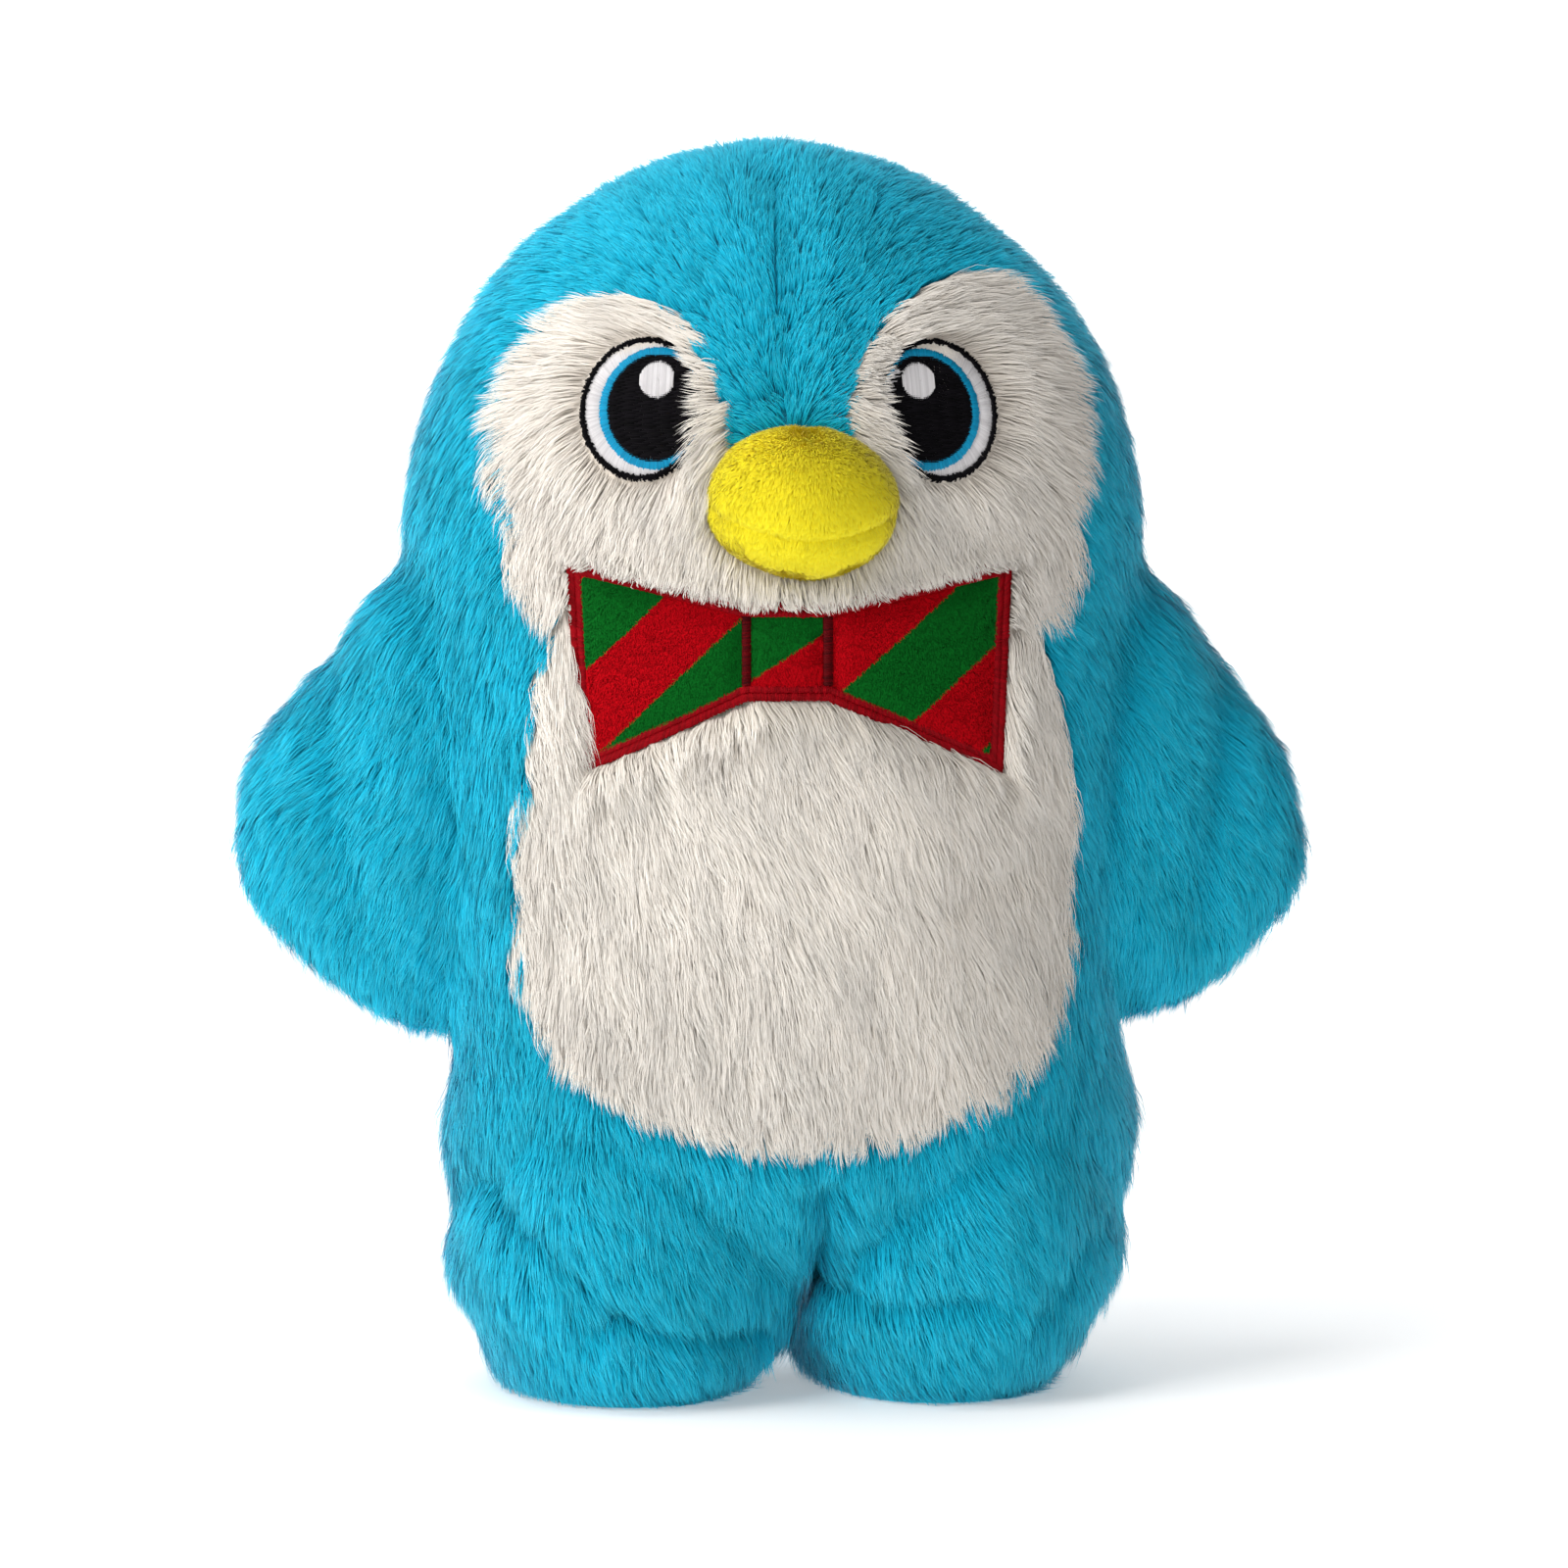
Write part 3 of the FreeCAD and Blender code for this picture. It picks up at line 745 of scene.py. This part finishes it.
TIE_TOP_Z, TIE_BOTTOM_Z = TIE_HIGH[2], TIE_LOW[2]
TIE_TOP_HALF = TIE_HIGH[0]
TIE_BOTTOM_HALF = TIE_TOP_HALF - 2.4 * MM
KNOT_TOP_Z, KNOT_BOTTOM_Z = TIE_TOP_Z - 11 * MM, TIE_BOTTOM_Z + 18.3 * MM
CHEST_RADIUS, TIE_BACK = 131 * MM, 1.8 * MM
FACE_RADIUS_ACROSS, FACE_RADIUS_UP = 0.125, 0.120


def tie_top(x):
    t = np.clip((np.abs(x) - KNOT_HALF) / (TIE_TOP_HALF - KNOT_HALF), 0, 1)
    return KNOT_TOP_Z + t * (TIE_TOP_Z - KNOT_TOP_Z)


def tie_bottom(x):
    t = np.clip((np.abs(x) - KNOT_HALF) / (TIE_BOTTOM_HALF - KNOT_HALF), 0, 1)
    return KNOT_BOTTOM_Z - t * (KNOT_BOTTOM_Z - TIE_BOTTOM_Z)


def under_tie(p):
    return (edge_distance(p[:, 0], p[:, 2]) > 0) & (p[:, 1] < AXIS_Y)


def under_beak(p):
    flat = (p - (BEAK_LOW + BEAK_HIGH) / 2) / ((BEAK_HIGH - BEAK_LOW) / 2)
    return (flat[:, 0] ** 2 + flat[:, 2] ** 2 < 0.85) & (p[:, 1] < AXIS_Y)


class EyeFrame:
    """The tilted place of one eye: across, up and out of the face, from its CAD patch."""

    def __init__(self, side, sign):
        points = joined([f"eye_patch_{side}"])[0].astype(float)
        self.centre = points.mean(0)
        _, _, axes = np.linalg.svd(points - self.centre, full_matrices=False)
        self.out = axes[2] * -np.sign(axes[2][1])
        self.across = unit(np.cross(self.out, [0, 0, -1.0]))
        self.up = np.cross(self.out, self.across)
        self.half = np.abs(self.flat(points)).max(0)
        self.sign = sign

    def flat(self, p):
        """How far across and up the eye each point is."""
        return (p - self.centre) @ np.stack([self.across, self.up], axis=1)

    def place(self, u, v, height):
        """A point u across and v up the eye, that far out from its patch, on the face's curve."""
        sag = u * u / (2 * FACE_RADIUS_ACROSS) + v * v / (2 * FACE_RADIUS_UP)
        out = height - sag + 0.6 * MM
        return (self.centre + np.multiply.outer(u, self.across) + np.multiply.outer(v, self.up)
                + np.multiply.outer(out, self.out))

    def covers(self, p):
        return (np.sum((self.flat(p) / self.half) ** 2, axis=1) < 1) & (p[:, 1] < AXIS_Y)


EYES = {side: EyeFrame(side, sign) for side, sign in SIDES}


def keep_face(p):
    hidden = under_tie(p) | under_beak(p)
    for eye in EYES.values():
        hidden |= eye.covers(p)
    return ~hidden


# ---- threads


def thread_mesh(name, start, end, out, width, height):
    """Satin stitches: each a raised rounded thread that dips into the cloth at both ends."""
    count = len(start)
    shade = rng.uniform(0.05, 0.95, count)
    t = np.array([0, 0.12, 0.5, 0.88, 1.0])
    arch = np.array([-0.3, 0.85, 1.0, 0.85, -0.3])
    run = unit(end - start)
    side = unit(np.cross(run, out)) * (width / 2)
    line = start[:, None] + (end - start)[:, None] * t[None, :, None]
    crest = line + out[:, None] * (height * arch[None, :, None])
    edge = line + out[:, None] * (height * (arch - 0.75)[None, :, None])
    rows = np.stack([edge - side[:, None], crest, edge + side[:, None]], axis=2)
    points = rows.reshape(count, 15, 3)
    quads = []
    for i in range(4):
        for j in range(2):
            quads += [3 * i + j, 3 * i + 3 + j, 3 * i + 4 + j, 3 * i + 1 + j]
    corners = (np.array(quads)[None] + (np.arange(count) * 15)[:, None]).ravel()
    starts = np.arange(0, len(corners), 4)
    u = np.clip(shade[:, None] + np.tile([-0.01, 0, 0.01], 5)[None], 0, 1)
    v = np.repeat(t, 3)[None].repeat(count, 0)
    uv = np.stack([u, v], axis=2).reshape(-1, 2)
    return numpy_mesh(name, points.reshape(-1, 3), corners, starts, uv)


def ring_stitches(centre_u, inner, outer, spacing, ragged):
    """Stitches across an elliptic band, from its inner to its outer edge."""
    mean = (inner + outer) / 2
    count = int(2 * math.pi * mean.mean() / spacing)
    angle = (np.arange(count) + rng.uniform(-0.2, 0.2, count)) / count * 2 * math.pi
    direction = np.stack([np.cos(angle), np.sin(angle)], axis=1)
    a = direction * (inner + rng.normal(scale=ragged, size=(count, 1))) + [centre_u, 0]
    b = direction * (outer + rng.normal(scale=ragged, size=(count, 1))) + [centre_u, 0]
    return a, b


def clip_to_ellipse(a, b, half):
    """Keeps the stitches whose start lies in the ellipse, and shortens those that leave it."""
    inside = np.sum((a / half) ** 2, axis=1) < 1
    a, b = a[inside], b[inside]
    reach = np.sqrt(np.sum((b / half) ** 2, axis=1))
    over = reach > 1
    b[over] = b[over] / reach[over, None]
    return a, b


def stitched(name, eye, a, b, height, thread, material, slot, *nodes, base=0.0):
    """Stitches from a to b on the eye, in metres across and up it."""
    start, end = eye.place(a[:, 0], a[:, 1], base), eye.place(b[:, 0], b[:, 1], base)
    out = np.broadcast_to(eye.out, start.shape)
    mesh = thread_mesh(name, start, end, out, thread, height)
    return add_object(name, mesh, material, BODY, slot, *nodes)


def filled_rows(centre, half, spacing, stitch, upright=False):
    """Rows of short stitches that fill an ellipse, each row shifted from the last."""
    half = half[::-1] if upright else half
    a, b = [], []
    rows = int(2 * half[1] / spacing)
    for i in range(rows):
        v = -half[1] + (i + 0.5) * spacing
        reach = half[0] * math.sqrt(max(0.0, 1 - (v / half[1]) ** 2))
        cuts = [-reach]
        at = -reach + stitch * (0.35 + 0.65 * ((i * 0.37) % 1))
        while at < reach - 0.3 * stitch:
            cuts.append(at)
            at += stitch
        cuts.append(reach)
        for left, right in zip(cuts[:-1], cuts[1:]):
            a.append((left - 0.3 * MM, v))
            b.append((right + 0.3 * MM, v))
    a, b = np.array(a), np.array(b)
    if upright:
        a, b = a[:, ::-1], b[:, ::-1]
    return a + centre, b + centre


EYE_TURNS, EYE_RINGS, EYE_DEPTH = 96, 28, 2.6 * MM


def make_eye(side, sign):
    """An embroidered eye: white, blue iris, black pupil, white glint and a black satin outline."""
    eye = EYES[side]
    whole = eye.half
    outline = 1.5 * MM
    shift = -sign * 3.4 * MM
    iris_half, pupil_half = np.array([14.4, 15.6]) * MM, np.array([12.3, 13.6]) * MM
    glint_half = np.array([4.3, 4.7]) * MM
    glint_at = np.array([shift - max(sign, 0) * 1.6 * MM, 6.9 * MM])

    turns = np.linspace(0, 2 * math.pi, EYE_TURNS, endpoint=False)
    rings = [eye.place(np.zeros(1), np.zeros(1), 0.0)]
    for r in np.linspace(0, 1, EYE_RINGS)[1:]:
        rings.append(eye.place(whole[0] * r * np.cos(turns), whole[1] * r * np.sin(turns), 0.0))
    top = np.concatenate(rings)
    following = [*range(1, EYE_TURNS), 0]
    faces = [(0, 1 + i, 1 + j) for i, j in enumerate(following)]
    for first in range(1, len(top) - EYE_TURNS, EYE_TURNS):
        outer = first + EYE_TURNS
        faces += [(first + i, outer + i, outer + j, first + j) for i, j in enumerate(following)]
    mesh = shell_mesh(f"eye_base_{side}", top, top - eye.out * EYE_DEPTH, faces)
    add_object(f"eye_base_{side}", mesh, white_cloth, BODY, "white_thread", f"eye_patch_{side}")

    a, b = ring_stitches(0.0, iris_half * 0.75, whole - outline * 0.6, 0.3 * MM, 0.05 * MM)
    stitched(f"eye_white_{side}", eye, a, b, 0.45 * MM, 0.42 * MM, white_thread, "white_thread")
    a, b = ring_stitches(shift, pupil_half * 0.94, iris_half, 0.28 * MM, 0.12 * MM)
    a, b = clip_to_ellipse(a, b, whole - outline * 0.7)
    stitched(f"eye_iris_{side}", eye, a, b, 0.5 * MM, 0.42 * MM, blue_thread, "blue_thread",
             f"eye_iris_{side}", base=0.3 * MM)
    a, b = filled_rows(np.array([shift, 0.0]), pupil_half, 0.42 * MM, 4.5 * MM)
    a, b = clip_to_ellipse(a, b, whole - outline * 0.7)
    stitched(f"eye_pupil_{side}", eye, a, b, 0.55 * MM, 0.5 * MM, black_thread, "black_thread",
             f"eye_pupil_{side}", base=0.45 * MM)
    a, b = filled_rows(glint_at, glint_half, 0.42 * MM, 12 * MM, upright=True)
    stitched(f"eye_glint_{side}", eye, a, b, 0.6 * MM, 0.52 * MM, white_thread, "white_thread",
             f"eye_highlight_{side}", base=0.85 * MM)
    a, b = ring_stitches(0.0, whole - outline, whole, 0.34 * MM, 0.2 * MM)
    stitched(f"eye_outline_{side}", eye, a, b, 0.8 * MM, 0.46 * MM, black_thread, "black_thread",
             f"eye_outline_{side}", base=0.3 * MM)


# ---- beak


def make_beak():
    """A short-pile beak: two panels with a smiling seam and a small dart at the top."""
    centre, half = (BEAK_LOW + BEAK_HIGH) / 2, (BEAK_HIGH - BEAK_LOW) / 2
    centre[1] = BEAK_LOW[1] + 25 * MM
    half[1] = 25 * MM
    inset = 1.3 * MM
    mesh = ball(6)
    co = vertex_array(mesh)
    boxy = unit(np.sign(co) * np.abs(co) ** 0.94)
    set_vertices(mesh, boxy * (half - inset) + centre)

    co = vertex_array(mesh)
    arc = 39 * MM
    from_arc = np.hypot(co[:, 0] - centre[0], co[:, 2] - (MOUTH_Z + arc)) - arc
    front = smoothstep(-co[:, 1], -centre[1], -centre[1] + 6 * MM)
    sink(mesh, 1.2 * MM * np.exp(-((from_arc / (1.5 * MM)) ** 2)) * front)
    dart = np.abs(co[:, 0] - centre[0] - 1 * MM)
    up_there = smoothstep(co[:, 2], centre[2] + 11 * MM, centre[2] + 15 * MM)
    sink(mesh, 0.5 * MM * np.exp(-((dart / (1.8 * MM)) ** 2)) * up_there)
    sink(mesh, (0.1 * waves(co, 0.004, 21)[:, 0] + 0.3 * waves(co, 0.016, 22)[:, 1]) * MM)

    centres = np.array([p.center for p in mesh.polygons])
    upper = np.hypot(centres[:, 0] - centre[0], centres[:, 2] - (MOUTH_Z + arc)) < arc
    near = centres[:, 1] < centre[1] + 9 * MM
    for label, chosen in (("upper", upper), ("lower", ~upper)):
        shell = submesh(f"beak_{label}_panel", mesh, chosen & near, 0.8 * MM)
        add_object(f"beak_{label}_panel", shell, yellow_cloth, BODY, "yellow_plush", f"beak_{label}")
    fill = mesh.copy()
    sink(fill, 1.6 * MM)
    add_object("beak_fill", fill, fill_cloth, BODY, "fibre_fill", "beak_stuffing")

    def outward(root, normal):
        away = (root - centre) * [0.6, 0, 0] + np.array([0, -0.003, -0.012])
        return along_surface(away + waves(root, 0.004, 27) * 0.0015, normal)

    root, normal = Surface(mesh, near).scatter(22)
    fur("beak_pile", root, normal, yellow_fur, "yellow_plush", BODY, outward,
        lambda p: (np.full(len(p), 1.5), np.full(len(p), 1.1)), tufts=((24, 0.2),),
        steps=2, width=0.23, ruffle=0.15, wave=0.0, streaks=0.08)


# ---- bow tie

STRIPE = 50 * MM  # one red and one green stripe, across
STRIPE_SLOPE = math.tan(math.radians(42.5))


def stripe_phase(x, z):
    """0 to 0.5 in a red stripe and 0.5 to 1 in a green one. The knot's cloth is a piece of its own."""
    level = TIE_BOTTOM_Z + 24 * MM
    lean = x - (z - level) / STRIPE_SLOPE
    left = (lean + 52 * MM) / STRIPE
    right = (lean - 42 * MM) / STRIPE
    knot = ((x + 7.5 * MM) - (z - level) / 0.63) / (3 * STRIPE)
    phase = np.where(x < -KNOT_HALF, left, np.where(x > KNOT_HALF, right, 0.0))
    phase = phase - np.floor(phase)
    return np.where(np.abs(x) <= KNOT_HALF, np.where(knot > 0, 0.25, 0.75), phase)


def tie_grid(columns, rows):
    """Points of the tie's outline as a grid across and up, with x and z in metres."""
    spans = [(-TIE_TOP_HALF, -TIE_BOTTOM_HALF, -KNOT_HALF, -KNOT_HALF, columns),
             (-KNOT_HALF, -KNOT_HALF, KNOT_HALF, KNOT_HALF, columns // 3),
             (KNOT_HALF, KNOT_HALF, TIE_TOP_HALF, TIE_BOTTOM_HALF, columns)]
    tops = []
    for top_a, bottom_a, top_b, bottom_b, count in spans:
        t = np.linspace(0, 1, count + 1)
        tops.append(np.stack([top_a + (top_b - top_a) * t, bottom_a + (bottom_b - bottom_a) * t], 1)[:-1])
    tops.append(np.array([[TIE_TOP_HALF, TIE_BOTTOM_HALF]]))
    tops = np.concatenate(tops)
    up = np.linspace(0, 1, rows + 1)
    x = tops[:, :1] * up + tops[:, 1:] * (1 - up)
    z = tie_bottom(tops[:, 1])[:, None] * (1 - up) + tie_top(tops[:, 0])[:, None] * up
    return x, z


def knot_lean(x):
    """How far the tie's middle sits towards the toy's right."""
    return 2.0 * MM * np.exp(-((x / (30 * MM)) ** 2))


def chest_point(x, z, height):
    """A point on the tie's curve round the chest, that far out from its back."""
    x = x - knot_lean(x)
    back = TIE_LOW[1] + CHEST_RADIUS + TIE_BACK
    reach = CHEST_RADIUS - TIE_BACK + height
    y = back - np.sqrt(np.maximum(reach**2 - x**2, 0))
    return np.stack([x, y + 0 * z, z], axis=-1)


def edge_distance(x, z):
    """How far inside the tie's outline a point is, in metres."""
    side_slope = (TIE_TOP_HALF - TIE_BOTTOM_HALF) / (TIE_TOP_Z - TIE_BOTTOM_Z)
    side = TIE_BOTTOM_HALF + (z - TIE_BOTTOM_Z) * side_slope - np.abs(x)
    return np.minimum(np.minimum(tie_top(x) - z, z - tie_bottom(x)), side)


def make_tie():
    """A flat padded bow tie of striped velour with satin-stitched edges."""
    x, z = tie_grid(90, 66)
    inside = edge_distance(x, z)
    from_knot = np.abs(np.abs(x) - KNOT_HALF)
    puff = 1.5 * smoothstep(inside, 0, 9 * MM) * smoothstep(from_knot, 0, 6 * MM)
    ripple = 0.35 * waves(np.stack([x, 0 * x, z], -1).reshape(-1, 3), 0.02, 31)[:, 0].reshape(x.shape)
    height = (0.9 + puff + ripple * smoothstep(inside, 0, 6 * MM)) * MM
    front = chest_point(x, z, height).reshape(-1, 3)
    back = chest_point(x, z, -0.9 * MM + 0 * x).reshape(-1, 3)
    wide, tall = x.shape
    index = np.arange(wide * tall).reshape(wide, tall)
    quads = np.stack([index[:-1, :-1], index[1:, :-1], index[1:, 1:], index[:-1, 1:]], -1).reshape(-1, 4)
    mesh = shell_mesh("tie_velour", front, back, [tuple(quad) for quad in quads.tolist()])
    phase = np.tile(stripe_phase(x, z).ravel(), 2)
    write(mesh.attributes.new("stripe", "FLOAT", "POINT").data, "value", phase)
    tie = add_object("tie_velour", mesh, tie_cloth, BODY, "tie_velour", "tie_fabric", "tie_backing")

    chosen = np.zeros(len(mesh.polygons), bool)
    chosen[:len(quads)] = True
    root, normal = Surface(mesh, chosen).scatter(14)
    across = root[:, 0] + knot_lean(root[:, 0])
    open_cloth = edge_distance(across, root[:, 2]) > 3.4 * MM
    open_cloth &= np.abs(np.abs(across) - KNOT_HALF) > 1.4 * MM
    root, normal, across = root[open_cloth], normal[open_cloth], across[open_cloth]
    flow = along_surface(DOWN + 0.5 * rng.normal(size=root.shape), normal)
    length = rng.uniform(0.7, 1.2, len(root)) * MM
    path = strand_paths(root, normal, flow, length * 0.8, length * 0.8, ((40, 0.2),), 2, 0.0)
    shade = stripe_phase(across + rng.normal(scale=0.08 * MM, size=len(root)), root[:, 2])
    widths = np.full(len(root), 0.24 * MM)
    for i, part in enumerate(np.array_split(np.argsort(root[:, 0]), 2)):
        pile = ribbon_mesh(f"tie_pile_{i + 1}", path[part], normal[part], widths[part],
                           np.clip(shade[part], 0.02, 0.98))
        add_object(f"tie_pile_{i + 1}", pile, tie_fur, BODY, "tie_velour")

    outline = [(-TIE_TOP_HALF, TIE_TOP_Z), (-KNOT_HALF, KNOT_TOP_Z), (KNOT_HALF, KNOT_TOP_Z),
               (TIE_TOP_HALF, TIE_TOP_Z), (TIE_BOTTOM_HALF, TIE_BOTTOM_Z), (KNOT_HALF, KNOT_BOTTOM_Z),
               (-KNOT_HALF, KNOT_BOTTOM_Z), (-TIE_BOTTOM_HALF, TIE_BOTTOM_Z)]
    rows = {"outer": (-0.5, 1.55), "inner": (1.4, 3.3)}
    for label, (near, far) in rows.items():
        starts, ends = band_stitches(outline, near * MM, far * MM, 0.42 * MM)
        nodes = ("tie_border",) if label == "outer" else ()
        sew_tie(f"tie_border_{label}", starts, ends, 1.3 * MM, red_thread, *nodes)
    for side, sign in SIDES:
        zs = np.arange(KNOT_BOTTOM_Z + 3.4 * MM, KNOT_TOP_Z - 3.4 * MM, 0.42 * MM)
        a = np.stack([np.full(len(zs), sign * KNOT_HALF - 1.2 * MM), zs], 1)
        b = np.stack([np.full(len(zs), sign * KNOT_HALF + 1.2 * MM), zs + 0.3 * MM], 1)
        nodes = ("tie_dividers",) if sign == 1 else ()
        sew_tie(f"tie_divider_{side}", a, b, 1.3 * MM, dark_red_thread, *nodes)


def band_stitches(outline, near, far, spacing):
    """Stitches across a band that runs inside a closed outline, between two distances from it."""
    points = np.array(outline)
    ahead = unit(np.roll(points, -1, 0) - points)
    inward = np.stack([ahead[:, 1], -ahead[:, 0]], 1)
    before = np.roll(inward, 1, 0)
    miter = (inward + before) / (1 + np.sum(inward * before, axis=1, keepdims=True))
    rings = [points + miter * near, points + miter * far]
    starts, ends = [], []
    for i in range(len(points)):
        j = (i + 1) % len(points)
        count = int(np.linalg.norm(points[j] - points[i]) / spacing)
        t = ((np.arange(count) + 0.5) / count)[:, None]
        starts.append(rings[0][i] + (rings[0][j] - rings[0][i]) * t)
        ends.append(rings[1][i] + (rings[1][j] - rings[1][i]) * t)
    a, b = np.concatenate(starts), np.concatenate(ends)
    ragged = rng.normal(scale=0.1 * MM, size=(len(a), 2, 1))
    along = unit(b - a)
    return a + along * ragged[:, 0], b + along * ragged[:, 1]


def sew_tie(name, a, b, base, material, *nodes):
    start, end = chest_point(a[:, 0], a[:, 1], base), chest_point(b[:, 0], b[:, 1], base)
    centre = np.array([0, TIE_LOW[1] + CHEST_RADIUS, 0])
    out = unit((start - centre) * [1, 1, 0])
    mesh = thread_mesh(name, start, end, out, 0.6 * MM, 0.75 * MM)
    return add_object(name, mesh, material, BODY, "red_thread", *nodes)


# ---- body and wings


def make_fills():
    """The loose fibre inside: it never shows, but it fills the skins."""
    body = remeshed("body_fill", *joined(["body_stuffing"]), 4 * MM, 4)
    sink(body, 6 * MM)
    add_object("body_fill", body, fill_cloth, BODY, "fibre_fill", "body_stuffing")
    for side, _ in SIDES:
        node = f"wing_stuffing_{side}"
        wing = remeshed(f"wing_fill_{side}", *joined([node]), 3 * MM, 3)
        sink(wing, 1.5 * MM)
        item = add_object(f"wing_fill_{side}", wing, fill_cloth, f"wing_{side}", "fibre_fill", node)


def hang(item, side, sign):
    """Bakes the piece's transform into its mesh."""
    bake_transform(item)


PILES = {"cheek": (comb_cheek, size_cheek), "belly": (comb_belly, size_belly), "wing": (comb_wing, size_wing)}


def make_skin():
    """The cloth panels and the pile that grows on them."""
    skin = skin_surface()
    distances = panel_distances(skin)
    centres = np.array([p.center for p in skin.polygons])
    corner = np.array([p.vertices[0] for p in skin.polygons])
    face_part = part_of_skin(centres, distances[corner])
    parts = [(node, BODY, None) for node in PANELS]
    parts += [(f"wing_{half}_{side}", None, (side, sign)) for side, sign in SIDES for half in ("front", "back")]
    for i, (node, body, wing) in enumerate(parts):
        cloth, slot = (white_cloth, "white_plush") if is_white(node) else (blue_cloth, "blue_plush")
        shell = submesh(f"{node}_backing", skin, face_part == i, 0.9 * MM)
        item = add_object(f"{node}_backing", shell, cloth, body, slot, node)
        if wing:
            hang(item, *wing)

    root, normal, away = Surface(skin).scatter(4.6, distances)
    part = part_of_skin(root, away)
    share = np.where(root[:, 1] > AXIS_Y + 8 * MM, 0.6, 0.9)
    share = np.where(np.isin(part, [i for i, p in enumerate(parts) if is_white(p[0])]), 1.0, share)
    grown = keep_face(root) & (rng.uniform(size=len(root)) < share) & (root[:, 2] > 2 * MM)
    for i, (node, body, wing) in enumerate(parts):
        own = grown & (part == i)
        material, slot = (white_fur, "white_plush") if is_white(node) else (blue_fur, "blue_plush")
        comb, size = PILES.get(node.split("_")[0], (comb_body, size_body))
        for item in fur(f"{node}_pile", root[own], normal[own], material, slot, body, comb, size):
            if wing:
                hang(item, *wing)


def is_white(node):
    return "cheek" in node or "belly" in node


# ---- studio


def make_studio():
    camera = linked("camera", bpy.data.cameras.new("camera"))
    camera.data.lens = 100
    camera.data.sensor_width = 36
    target = np.array([0.0, AXIS_Y, 0.1536])
    turn, rise, distance = math.radians(-5), math.radians(2), 1.12
    back = np.array([math.sin(turn) * math.cos(rise), -math.cos(turn) * math.cos(rise), math.sin(rise)])
    camera.location = target + back * distance
    camera.rotation_euler = Vector(-back).to_track_quat("-Z", "Y").to_euler()
    camera.data.shift_x = 0.0065
    camera.data.clip_start = 0.05
    bpy.context.scene.camera = camera

    lights = (("key", (-1.65, -1.1, 1.1), 1.2, 33, (1.0, 0.985, 0.965)),
              ("front", (-0.2, -1.9, 0.8), 1.0, 6, (1, 1, 1)),
              ("top", (-0.5, -0.2, 1.9), 1.0, 16, (1, 1, 1)))
    for name, place, size, power, colour in lights:
        lamp = bpy.data.lights.new(name, "AREA")
        lamp.size, lamp.energy, lamp.color = size, power, colour
        item = linked(name, lamp)
        item.location = place
        aim = Vector((0, 0, 0.16)) - Vector(place)
        item.rotation_euler = aim.to_track_quat("-Z", "Y").to_euler()

    world = bpy.data.worlds.new("studio")
    world.use_nodes = True
    world.node_tree.nodes["Background"].inputs[0].default_value = (0.95, 0.97, 1.0, 1)
    world.node_tree.nodes["Background"].inputs[1].default_value = 0.12
    bpy.context.scene.world = world

    reach, rise_from, radius, height = 9.0, 1.6, 0.8, 4.5
    profile = [(-9.0, 0.0), (rise_from, 0.0)]
    for i in range(1, 13):
        angle = i / 12 * math.pi / 2
        profile.append((rise_from + radius * math.sin(angle), radius * (1 - math.cos(angle))))
    profile.append((rise_from + radius, height))
    points = [(x, y, z) for y, z in profile for x in (-reach, reach)]
    faces = [(2 * i, 2 * i + 1, 2 * i + 3, 2 * i + 2) for i in range(len(profile) - 1)]
    mesh = bpy.data.meshes.new("floor")
    mesh.from_pydata(points, [], faces, shade_flat=False)
    floor = linked("floor", mesh)
    for label, glow in (("pale_floor", 0.30), ("pale_backdrop", 0.8)):
        material, nodes, links, shader = new_material(label, 0.7)
        shader.inputs["Emission Color"].default_value = (1, 1, 1, 1)
        shader.inputs["Emission Strength"].default_value = glow
        pale = [(0.3, (0.90,) * 3), (0.7, (0.93,) * 3)]
        links.new(colour_of(noise(nodes, links, 3.0), nodes, links, pale), shader.inputs["Base Color"])
        mesh.materials.append(material)
    for polygon in mesh.polygons:
        polygon.material_index = int(polygon.center.y > rise_from)
    bpy.context.scene.view_settings.view_transform = "Standard"


make_studio()
make_fills()
make_skin()
for side, sign in SIDES:
    make_eye(side, sign)
make_beak()
make_tie()
for side, _ in SIDES:
    frame["nodes"][f"sole_{side}"].data.materials.clear()
    frame["nodes"][f"sole_{side}"].data.materials.append(sole_cloth)
